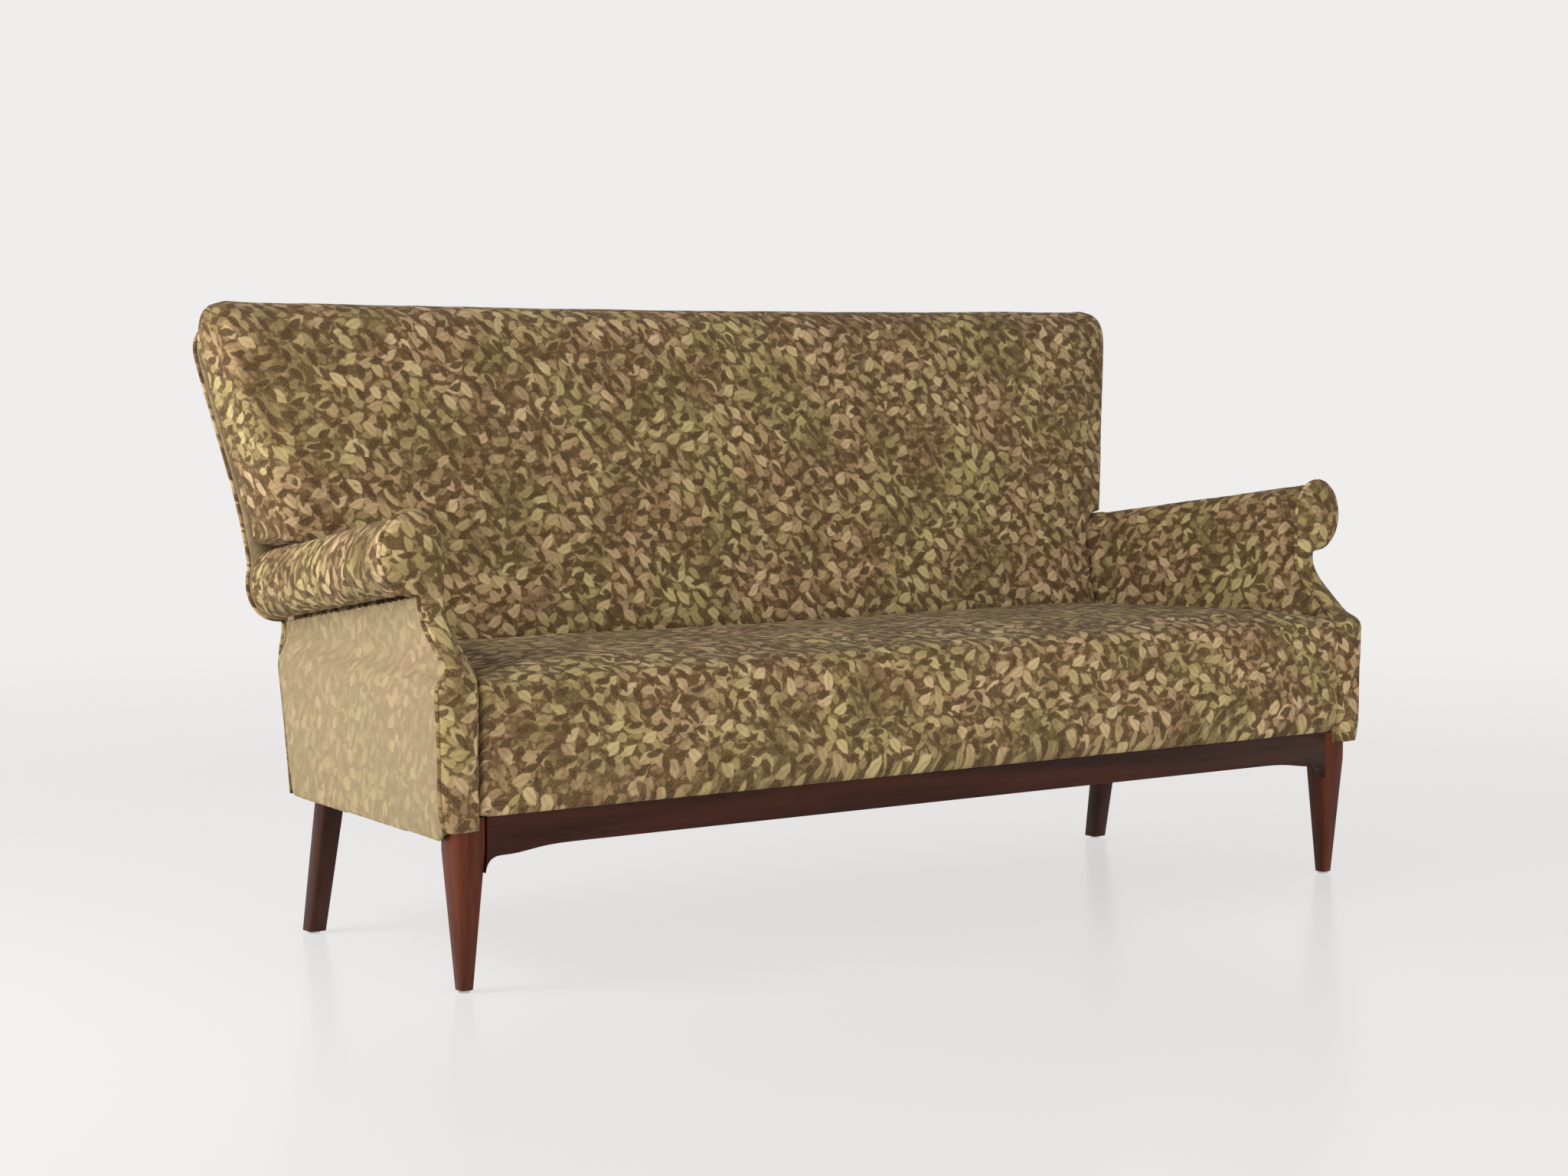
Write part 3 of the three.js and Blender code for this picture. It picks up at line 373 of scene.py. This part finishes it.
def planed_beech():
    """Bare wood with its small brown flecks, for the hidden frame."""
    finish = Finish("planed_beech", Specular_IOR_Level=0.35)
    place = finish.node("ShaderNodeMapping", None, {
        "Vector": finish.place(), "Scale": (0.1, 1.0, 1.0)})
    figure = finish.clouds(place, 0.02, 4.0, 0.6, flat=False)
    fleck = finish.clouds(finish.place(), 0.003, flat=False).ramp(0.58, 0.66)
    colour = finish.mix(figure.ramp(0.3, 0.7), (0.62, 0.42, 0.25), (0.78, 0.58, 0.38))
    colour = finish.mix(fleck * 0.4, colour, (0.45, 0.27, 0.15))
    relief = finish.bump(figure, 0.0004, 0.5)
    return finish.wear(Base_Color=colour, Roughness=0.6 + figure * 0.2, Normal=relief)


def plain_weave(name, pitch, dark, light):
    """A plain weave of level threads, for straps, hessian and lining."""
    finish = Finish(name, Specular_IOR_Level=0.2)
    x, y, z = finish.separate(finish.place())
    warp = (x * (2 * math.pi / pitch)).sine()
    weft = ((y + z) * (2 * math.pi / pitch)).sine()
    weave = warp * weft * 0.5 + 0.5
    patchy = finish.clouds(finish.place(), 0.03, 3.0, 0.6, flat=False)
    colour = finish.mix(weave * 0.7 + patchy * 0.3, dark, light)
    relief = finish.bump(weave, pitch / 4, 0.8)
    return finish.wear(Base_Color=colour, Roughness=0.9 + patchy * 0.05, Normal=relief)


def worn_metal(name, colour, roughness):
    """Bare or plated metal that is rubbed in spots."""
    finish = Finish(name, Metallic=1.0)
    rub = finish.clouds(finish.place(), 0.006, 4.0, 0.7, flat=False)
    tone = finish.mix(rub * 0.5, colour, tuple(channel * 0.55 for channel in colour))
    relief = finish.bump(rub, 0.0001, 0.5)
    return finish.wear(Base_Color=tone, Roughness=roughness + rub * 0.2, Normal=relief)


cloth = cover_cloth("woven_leaf_cover", 1.0, SEAT_MIDDLE)
side_cloth = cover_cloth("woven_leaf_cover_side", 0.32, SIDE_MIDDLE)
# The rail's finish carries painted shade: its mahogany is painted darker than the same wood on the
# legs
shaded_mahogany_rail = polished_wood("mahogany_along_rail_painted_shade", 0, *SHADED_RAIL_WOOD)
mahogany_leg = polished_wood("mahogany_along_leg", 2, *LEG_WOOD)
mahogany_rear = polished_wood("mahogany_rear_leg", 2, *REAR_LEG_WOOD)
beech = planed_beech()
jute_strap = plain_weave("jute_strap", 0.0030, (0.22, 0.14, 0.07), (0.52, 0.38, 0.21))
hessian = plain_weave("coarse_hessian", 0.0022, (0.26, 0.18, 0.09), (0.58, 0.44, 0.26))
lining = plain_weave("black_lining", 0.0012, (0.010, 0.009, 0.008), (0.050, 0.046, 0.042))
spring_steel = worn_metal("drawn_spring_steel", (0.42, 0.40, 0.38), 0.35)
nickel = worn_metal("nickel_plate", (0.66, 0.63, 0.58), 0.22)


# Making pieces

def merged_copy(node):
    """A frame node's shape with its loose triangles joined."""
    shape = bmesh.new()
    shape.from_mesh(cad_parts[node].data)
    bmesh.ops.remove_doubles(shape, verts=shape.verts, dist=NODE_MERGED)
    return shape


def cut(shape, place, looks, **keep):
    """Cuts a shape's faces along a plane."""
    bmesh.ops.bisect_plane(
        shape, geom=shape.verts[:] + shape.edges[:] + shape.faces[:], dist=MERGED,
        plane_co=place, plane_no=looks, **keep)


def join_flat(shape):
    """Joins the faces that lie in one plane."""
    bmesh.ops.dissolve_limit(
        shape, angle_limit=FLAT_ANGLE, verts=shape.verts, edges=shape.edges)


def piece_of(name, shape, finish, slot, *nodes):
    """A piece of the settee made of a shape. It stands for the frame's nodes."""
    mesh = bpy.data.meshes.new(name)
    shape.to_mesh(mesh)
    shape.free()
    mesh.materials.append(finish)
    made = bpy.data.objects.new(name, mesh)
    bpy.context.scene.collection.objects.link(made)
    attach(made, "root")
    if nodes:
        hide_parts(*nodes)
    return made


def settle(piece):
    """Makes what a piece's modifiers give its own mesh."""
    graph = bpy.context.evaluated_depsgraph_get()
    done = bpy.data.meshes.new_from_object(piece.evaluated_get(graph))
    piece.modifiers.clear()
    before = piece.data
    piece.data = done
    bpy.data.meshes.remove(before)
    done.name = piece.name


def remesh(piece, size, rounds):
    """Gives a piece an even net of faces and rounds its edges a little."""
    net = piece.modifiers.new("net", "REMESH")
    net.mode = "VOXEL"
    net.voxel_size = size
    soft = piece.modifiers.new("soft", "SMOOTH")
    soft.factor = 0.5
    soft.iterations = rounds
    settle(piece)


def refine(piece):
    """Finishes a piece with one level of subdivision."""
    finer = piece.modifiers.new("finer", "SUBSURF")
    finer.levels = finer.render_levels = 1
    settle(piece)


def shade_smooth(piece, sharp_degrees=None):
    piece.data.shade_smooth()
    if sharp_degrees is not None:
        piece.data.set_sharp_from_angle(angle=math.radians(sharp_degrees))


def neighbours(*nodes):
    """What a cover touches, for finding the places where it is held."""
    joined = bmesh.new()
    for node in nodes:
        joined.from_mesh(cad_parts[node].data)
    tree = BVHTree.FromBMesh(joined)
    joined.free()
    return tree


def points_of(mesh):
    """A mesh's points and the ways that it looks there, as rows."""
    places = np.empty(3 * len(mesh.vertices))
    normals = np.empty(3 * len(mesh.vertices))
    mesh.vertices.foreach_get("co", places)
    mesh.vertex_normals.foreach_get("vector", normals)
    return places.reshape(-1, 3), normals.reshape(-1, 3)


def put_points(mesh, places):
    mesh.vertices.foreach_set("co", places.ravel())
    mesh.update()


def held_places(places, held_by):
    """For each point, 1 where it lies on what holds it and 0 where it is free."""
    return np.array([held_by.find_nearest(at, TOUCHING)[0] is not None for at in places], float)


def swell(piece, held_by, reach, inset=PAD_INSET):
    """Blows a pad up as cloth under pressure. It starts a little small, its held places stay, no
    point moves farther than its reach, and its edges hardly draw in, because they are stretched
    over a frame."""
    places, normals = points_of(piece.data)
    held = held_places(places, held_by)
    group = piece.vertex_groups.new(name="held")
    group.add(np.flatnonzero(held).tolist(), 1.0, "REPLACE")
    start = places - normals * inset * (1 - held)[:, None]
    put_points(piece.data, start)
    cover = piece.modifiers.new("cover", "CLOTH")
    cover.settings.quality = 4
    cover.settings.use_pressure = True
    cover.settings.uniform_pressure_force = PRESSURE
    cover.settings.effector_weights.gravity = 0
    cover.settings.vertex_group_mass = group.name
    cover.point_cache.frame_start = 1
    cover.point_cache.frame_end = SIMULATION_FRAMES
    scene = bpy.context.scene
    for step in range(1, SIMULATION_FRAMES + 1):
        scene.frame_set(step)
    settle(piece)
    scene.frame_set(1)
    move = points_of(piece.data)[0] - start
    far = np.linalg.norm(move, axis=1, keepdims=True)
    swollen = start + move * np.minimum(1, reach / np.maximum(far, 1e-9))
    drawn_in = np.maximum(0, ((places - swollen) * normals).sum(axis=1))
    given_back = drawn_in - DRAW_IN * np.tanh(drawn_in / DRAW_IN)
    put_points(piece.data, swollen + normals * given_back[:, None])
    piece.vertex_groups.clear()


def ripple(piece, held_by, depth=COVER_RIPPLE):
    """Very shallow dents and swellings, as stuffing has."""
    places, normals = points_of(piece.data)
    wave = np.array([
        noise.noise(at / RIPPLE_LENGTH) + 0.5 * noise.noise(at / (RIPPLE_LENGTH * 0.37))
        for at in map(Vector, places)])
    free = 1 - held_places(places, held_by)
    put_points(piece.data, places + normals * (wave * free * depth)[:, None])


def round_corner(places):
    """Rounds the body's upright rear corners, below the arms."""
    x, y, z = places.T
    side = SIDE_AT_FRONT + (y - side_front) * SIDE_TAPER
    rear = REAR_AT_WAIST - REAR_LEAN * np.maximum(0, WAIST - z)
    across = BODY_CORNER - (side - np.abs(x))
    back = BODY_CORNER - (rear - y)
    inside = (across > 0) & (back > 0)
    shrink = np.where(
        inside, np.maximum(across, back) / np.maximum(np.hypot(across, back), 1e-9), 1.0)
    share = np.clip((WAIST - z) / BODY_CORNER, 0, 1) * inside
    moved = places.copy()
    moved[:, 0] -= np.sign(x) * across * (1 - shrink) * share
    moved[:, 1] -= back * (1 - shrink) * share
    return moved


def raise_hem(places):
    """Lifts a side cover's lower front corner to the height where the facing ends."""
    _, y, z = places.T
    front = np.clip((side_front + HEM_RISE_START - y) / HEM_RISE_DEPTH, 0, 1)
    near = np.clip((HEM_RISE_TOP - z) / HEM_RISE_HEIGHT, 0, 1)
    moved = places.copy()
    moved[:, 2] += HEM_RISE * front * front * (3 - 2 * front) * near
    return moved


def twin(piece, name, finish, node):
    """The same piece on the settee's other side."""
    shape = bmesh.new()
    shape.from_mesh(piece.data)
    bmesh.ops.scale(shape, vec=(-1, 1, 1), verts=shape.verts)
    bmesh.ops.reverse_faces(shape, faces=shape.faces)
    return piece_of(name, shape, finish, "cover_fabric", node)


def lay_cloth(piece, rule):
    """Gives each corner of a piece its place on the flat cloth, in metres. The rule works it out
    from the points' places and the ways that the piece looks there."""
    mesh = piece.data
    layer = mesh.uv_layers.get("cloth") or mesh.uv_layers.new(name="cloth")
    places, normals = points_of(mesh)
    flat = np.column_stack(rule(places.T, normals.T))
    corners = np.empty(len(mesh.loops), int)
    mesh.loops.foreach_get("vertex_index", corners)
    layer.data.foreach_set("uv", flat[corners].ravel())
    mesh.uv_layers.active = layer


def chain(shape, wanted):
    """The points along the edges that are wanted, in their order, from one end to the other."""
    edges = {edge for edge in shape.edges if len(edge.link_faces) == 2 and wanted(edge)}
    count = {}
    for edge in edges:
        for point in edge.verts:
            count[point] = count.get(point, 0) + 1
    ends = [point for point, uses in count.items() if uses == 1]
    here = min(ends or count, key=lambda point: tuple(point.co))
    path = [here.co.copy()]
    while True:
        step = next((edge for edge in here.link_edges if edge in edges), None)
        if step is None:
            return path
        edges.remove(step)
        here = step.other_vert(here)
        path.append(here.co.copy())


def rear_rim(node):
    """The points round a frame node's rear face, from one end of its bottom edge to the other."""
    shape = merged_copy(node)
    lowest = min(point.co.z for point in shape.verts) + 0.0005

    def wanted(edge):
        looks = sorted(face.normal.y for face in edge.link_faces)
        heights = sorted(point.co.z for point in edge.verts)
        above = heights[0] > lowest or heights[1] - heights[0] > 0.004
        return looks[1] > 0.5 and abs(looks[0]) < 0.4 and above

    path = chain(shape, wanted)
    shape.free()
    return path


def welt(name, path):
    """A cloth-covered cord sewn into a seam, along a smooth line through a path's points."""
    line = bpy.data.curves.new(name, "CURVE")
    line.dimensions = "3D"
    line.bevel_depth = WELT_RADIUS
    line.bevel_resolution = 3
    line.resolution_u = 4
    line.use_fill_caps = True
    spline = line.splines.new("NURBS")
    spline.points.add(len(path) - 1)
    for point, place in zip(spline.points, path):
        point.co = (*place, 1.0)
    spline.order_u = 3
    spline.use_endpoint_u = True
    drawn = bpy.data.objects.new(name + "_line", line)
    bpy.context.scene.collection.objects.link(drawn)
    graph = bpy.context.evaluated_depsgraph_get()
    mesh = bpy.data.meshes.new_from_object(drawn.evaluated_get(graph))
    bpy.data.objects.remove(drawn)
    shape = bmesh.new()
    shape.from_mesh(mesh)
    bpy.data.meshes.remove(mesh)
    bmesh.ops.remove_doubles(shape, verts=shape.verts, dist=MERGED)
    bmesh.ops.recalc_face_normals(shape, faces=shape.faces)
    made = piece_of(name, shape, cloth, "cover_fabric")
    shade_smooth(made)
    lay_cloth(made, over_welt)


# Laying the cloth out flat over each piece

def over_seat(at, _):
    return at[0], at[1] + at[2]


def over_arm(at, _):
    """Up the inner side and round the roll, which shrinks and drops toward the rear."""
    out = np.abs(at[0])
    back = np.clip((at[1] - arm_low.y) / (arm_high.y - arm_low.y), 0, 1)

    def along(front, rear):
        return front + back * (rear - front)

    reach = along(*ROLL_REACHES)
    rise = along(*ROLL_RISES)
    axis = along(arm_high.x, ROLL_TIP_REAR) - reach
    middle = along(arm_high.z, ROLL_TOP_REAR) - rise
    turn = math.pi - np.arctan2((at[2] - middle) / rise, (out - axis) / reach)
    on_wall = (out < axis) & (at[2] < middle)
    return np.sign(at[0]) * at[1], np.where(on_wall, at[2], middle + turn * ROLL_GIRTH)


def over_side(at, _):
    return at[1] * np.sign(at[0]), abs(at[0]) - at[2] + SIDE_PATTERN_SHIFT


def over_facing(at, _):
    return at[0] + FACING_PATTERN_SHIFT, at[2]


def over_back(at, looks):
    """Straight up the leaning front, and on over the edges by as much as they go back."""
    depth = np.maximum(0, at[1] - back_front.y - BACK_LEAN * (at[2] - back_front.z))
    return at[0] + np.sign(at[0]) * depth * looks[0] ** 2, at[2] + depth * looks[2] ** 2


def over_rear(at, _):
    return REAR_PATTERN_SHIFT - at[0], at[2]


def over_welt(at, _):
    return at[0] * 0.7 + at[1], at[2] + at[0] * 0.3


# Places taken from the frame
arm_low, arm_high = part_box("arm_pad_right")
back_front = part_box("inside_back")[0]
side_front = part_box("side_cover_right")[0].y
rear_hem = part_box("outside_back")[0].z


# Tight seat
def make_seat():
    seat = piece_of("tight_seat", merged_copy("seat_pad"), cloth, "cover_fabric", "seat_pad")
    remesh(seat, PAD_VOXEL, rounds=8)
    held_by = neighbours(
        "arm_pad_left", "arm_pad_right", "arm_facing_left", "arm_facing_right", "front_rail",
        "front_seat_rail", "inside_back", "spring_hessian")
    swell(seat, held_by, reach=0.010)
    ripple(seat, held_by)
    refine(seat)
    shade_smooth(seat)
    lay_cloth(seat, over_seat)


# Arms
def make_arms():
    right = piece_of(
        "stuffed_arm_right", merged_copy("arm_pad_right"), cloth, "cover_fabric", "arm_pad_right")
    remesh(right, ARM_VOXEL, rounds=8)
    held_by = {side: neighbours(
        f"side_cover_{side}", f"arm_facing_{side}", "seat_pad", "inside_back", "outside_back",
        f"arm_board_{side}", f"arm_front_post_{side}", f"arm_rear_post_{side}",
        f"arm_tack_rail_{side}", f"arm_shoulder_rail_{side}") for side in SIDES}
    swell(right, held_by["right"], reach=0.006, inset=0.003)
    left = twin(right, "stuffed_arm_left", cloth, "arm_pad_left")
    for side, pad in zip(SIDES, (left, right)):
        ripple(pad, held_by[side])
        refine(pad)
        shade_smooth(pad)
        lay_cloth(pad, over_arm)


def make_side(side):
    cover = piece_of(
        f"arm_side_{side}", merged_copy(f"side_cover_{side}"), side_cloth, "cover_fabric",
        f"side_cover_{side}")
    remesh(cover, COVER_VOXEL, rounds=12)
    put_points(cover.data, raise_hem(round_corner(points_of(cover.data)[0])))
    held_by = neighbours(
        f"arm_facing_{side}", f"arm_pad_{side}", "outside_back", f"side_seat_rail_{side}")
    ripple(cover, held_by, SIDE_RIPPLE)
    shade_smooth(cover)
    lay_cloth(cover, over_side)


def make_facings():
    right = piece_of(
        "arm_front_right", merged_copy("arm_facing_right"), cloth, "cover_fabric",
        "arm_facing_right")
    remesh(right, COVER_VOXEL, rounds=6)
    held_by = neighbours("arm_pad_right", "side_cover_right", "arm_front_post_right", "seat_pad")
    swell(right, held_by, reach=0.003, inset=0.0005)
    left = twin(right, "arm_front_left", cloth, "arm_facing_left")
    for side, facing in zip(SIDES, (left, right)):
        shade_smooth(facing)
        lay_cloth(facing, over_facing)
        welt(f"arm_front_welt_{side}", rear_rim(f"arm_facing_{side}"))


# Back
def make_back():
    back = piece_of(
        "stuffed_back", merged_copy("inside_back"), cloth, "cover_fabric", "inside_back")
    remesh(back, PAD_VOXEL, rounds=8)
    held_by = neighbours(
        "outside_back", "arm_pad_left", "arm_pad_right", "seat_pad", "back_top_rail",
        "back_post_left", "back_post_right", "back_wing_left", "back_wing_right", "back_webbing",
        "back_lower_rail")
    swell(back, held_by, reach=0.009)
    ripple(back, held_by)
    refine(back)
    shade_smooth(back)
    lay_cloth(back, over_back)


def cut_fine(shape, size):
    """Splits every long edge until none is much longer than a size."""
    while True:
        long = [edge for edge in shape.edges if edge.calc_length() > 1.5 * size]
        if not long:
            return
        bmesh.ops.subdivide_edges(shape, edges=long, cuts=1, use_grid_fill=True)


def make_rear():
    """The flat rear cover, with edges close together where its corners are rounded."""
    shape = merged_copy("outside_back")
    bmesh.ops.join_triangles(
        shape, faces=shape.faces, angle_face_threshold=math.pi, angle_shape_threshold=math.pi)
    cut_fine(shape, REAR_NET)
    for inset in CORNER_CUTS:
        cut(shape, (REAR_HALF_WIDTH - inset, 0, 0), (1, 0, 0))
        cut(shape, (inset - REAR_HALF_WIDTH, 0, 0), (1, 0, 0))
        cut(shape, (0, 0, rear_hem + inset), (0, 0, 1))
    rear = piece_of("rear_cover", shape, side_cloth, "cover_fabric", "outside_back")
    refine(rear)
    put_points(rear.data, round_corner(points_of(rear.data)[0]))
    shade_smooth(rear, 50)
    lay_cloth(rear, over_rear)
    welt("rear_welt", round_corner(np.array(rear_rim("outside_back"))))


# Dust cover
def make_lining():
    """The black lining tacked under the seat frame. It sags a little between the rails."""
    shape = merged_copy("dust_cover")
    low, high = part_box("dust_cover")
    cut(shape, (0, 0, (low.z + high.z) / 2), (0, 0, 1), clear_inner=True)
    join_flat(shape)
    for axis, count in enumerate(LINING_STRIPS):
        for step in range(1, count):
            middle = [0.0, 0.0, 0.0]
            middle[axis] = low[axis] + (high[axis] - low[axis]) * step / count
            cut(shape, middle, (float(axis == 0), float(axis == 1), 0.0))
    bmesh.ops.delete(
        shape, geom=[face for face in shape.faces if abs(face.normal.z) < 0.5], context="FACES")
    for point in shape.verts:
        across = 1 - (2 * (point.co.x - low.x) / (high.x - low.x) - 1) ** 2
        along = 1 - (2 * (point.co.y - low.y) / (high.y - low.y) - 1) ** 2
        point.co.z = low.z - LINING_SAG * max(0, across) ** 0.5 * along
    made = piece_of("seat_lining", shape, lining, "lining_cloth", "dust_cover")
    thick = made.modifiers.new("thick", "SOLIDIFY")
    thick.thickness = LINING_THICKNESS
    thick.offset = 1
    settle(made)
    shade_smooth(made, 40)


# Wood and metal
def make_wood(node, name, finish):
    """A polished piece with small bevels on its sharp edges."""
    shape = merged_copy(node)
    join_flat(shape)
    edges = [
        edge for edge in shape.edges
        if len(edge.link_faces) == 2 and edge.calc_face_angle(0) > BEVELLED_ANGLE]
    bmesh.ops.bevel(
        shape, geom=edges, offset=WOOD_BEVEL, offset_type="OFFSET", affect="EDGES", segments=2,
        profile=0.5, material=-1, clamp_overlap=True)
    made = piece_of(name, shape, finish, "mahogany", node)
    shade_smooth(made, 35)


def dress_node(node, finish):
    """Puts a finish on a frame node that is shown as it is."""
    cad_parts[node].data.materials.clear()
    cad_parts[node].data.materials.append(finish)


def finish_for(node):
    if node.startswith("seat_spring"):
        return spring_steel
    if "glide" in node:
        return nickel
    if "webbing" in node:
        return jute_strap
    if node == "spring_hessian":
        return hessian
    return beech


# Studio
def seen_share(tree):
    """1 for what is seen straight, in a reflection or through glass, and 0 for all other light."""
    rays = tree.nodes.new("ShaderNodeLightPath").outputs
    seen = rays["Is Camera Ray"]
    for ray in ("Is Glossy Ray", "Is Transmission Ray"):
        either = tree.nodes.new("ShaderNodeMath")
        either.operation = "MAXIMUM"
        tree.links.new(seen, either.inputs[0])
        tree.links.new(rays[ray], either.inputs[1])
        seen = either.outputs[0]
    return seen


def make_floor():
    """A pale, slightly glossy floor that becomes the backdrop farther off."""
    bpy.ops.mesh.primitive_grid_add(x_subdivisions=8, y_subdivisions=8, size=FLOOR_SIZE)
    floor = bpy.context.object
    floor.name = "studio_floor"
    finish = Finish(
        "studio_floor", Base_Color=(*FLOOR, 1), Roughness=0.22, Specular_IOR_Level=0.5)
    tree = finish.tree
    backdrop = finish.node("ShaderNodeEmission", None, {"Color": (*BACKDROP, 1), "Strength": 1.0})
    distance = finish.node(
        "ShaderNodeVectorMath", {"operation": "LENGTH"}, {0: finish.place()}, output=1)
    shown = FLOOR_SHOWN + distance.ramp(*FLOOR_FADE) * (1 - FLOOR_SHOWN)
    both = finish.node("ShaderNodeMixShader", None, {
        0: shown * Value(finish, seen_share(tree)), 1: Value(finish, finish.shader.outputs[0]),
        2: backdrop})
    tree.links.new(both.socket, tree.nodes["Material Output"].inputs["Surface"])
    floor.data.materials.append(finish.material)


def make_room():
    """Even light from all round, and a pale backdrop where the camera looks past the floor."""
    world = bpy.data.worlds.new("studio")
    bpy.context.scene.world = world
    world.use_nodes = True
    nodes, links = world.node_tree.nodes, world.node_tree.links
    nodes.clear()
    soft = nodes.new("ShaderNodeBackground")
    soft.inputs["Color"].default_value = (1.0, 1.0, 1.0, 1)
    soft.inputs["Strength"].default_value = ROOM_LIGHT
    shown = nodes.new("ShaderNodeBackground")
    shown.inputs["Color"].default_value = (*BACKDROP, 1)
    shown.inputs["Strength"].default_value = 1.0
    mixed = nodes.new("ShaderNodeMixShader")
    output = nodes.new("ShaderNodeOutputWorld")
    links.new(seen_share(world.node_tree), mixed.inputs[0])
    links.new(soft.outputs[0], mixed.inputs[1])
    links.new(shown.outputs[0], mixed.inputs[2])
    links.new(mixed.outputs[0], output.inputs[0])


def soft_light(name, place, target, width, height, power):
    """An area light like a window, of so many watts. Nothing glossy mirrors it."""
    lamp = bpy.data.lights.new(name, "AREA")
    lamp.shape = "RECTANGLE"
    lamp.size = width
    lamp.size_y = height
    lamp.energy = power
    made = bpy.data.objects.new(name, lamp)
    made.location = place
    made.rotation_euler = (Vector(target) - Vector(place)).to_track_quat("-Z", "Y").to_euler()
    made.visible_glossy = False
    bpy.context.scene.collection.objects.link(made)


def make_camera():
    lens = bpy.data.cameras.new("photo_camera")
    lens.sensor_fit = "HORIZONTAL"
    lens.sensor_width = SENSOR_WIDTH
    lens.lens = FOCAL_PIXELS / IMAGE_WIDTH * SENSOR_WIDTH
    camera = bpy.data.objects.new("photo_camera", lens)
    camera.location = CAMERA_PLACE
    camera.rotation_euler = (
        math.radians(90 - CAMERA_DIP_DEGREES), 0, math.radians(-CAMERA_TURN_DEGREES))
    bpy.context.scene.collection.objects.link(camera)
    bpy.context.scene.camera = camera


make_camera()
make_floor()
make_room()
soft_light(
    "left_window", place=(-3.4, 0.3, 0.80), target=(-0.8, 0.0, 0.46), width=2.4, height=0.75,
    power=50)
soft_light(
    "upper_left_window", place=(-2.3, 0.2, 1.9), target=(-0.8, 0.0, 0.50), width=0.9, height=0.9,
    power=28)
soft_light(
    "front_window", place=(-0.3, -4.2, 0.75), target=(0.2, 0.0, 0.40), width=3.2, height=1.2,
    power=92)

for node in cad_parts:
    dress_node(node, finish_for(node))
make_seat()
make_arms()
make_facings()
for side in SIDES:
    make_side(side)
    make_wood(f"front_leg_{side}", f"polished_front_leg_{side}", mahogany_leg)
    make_wood(f"rear_leg_{side}", f"polished_rear_leg_{side}", mahogany_rear)
make_wood("front_rail", "polished_front_rail", shaded_mahogany_rail)
make_back()
make_rear()
make_lining()

bpy.context.scene.view_settings.view_transform = "Standard"
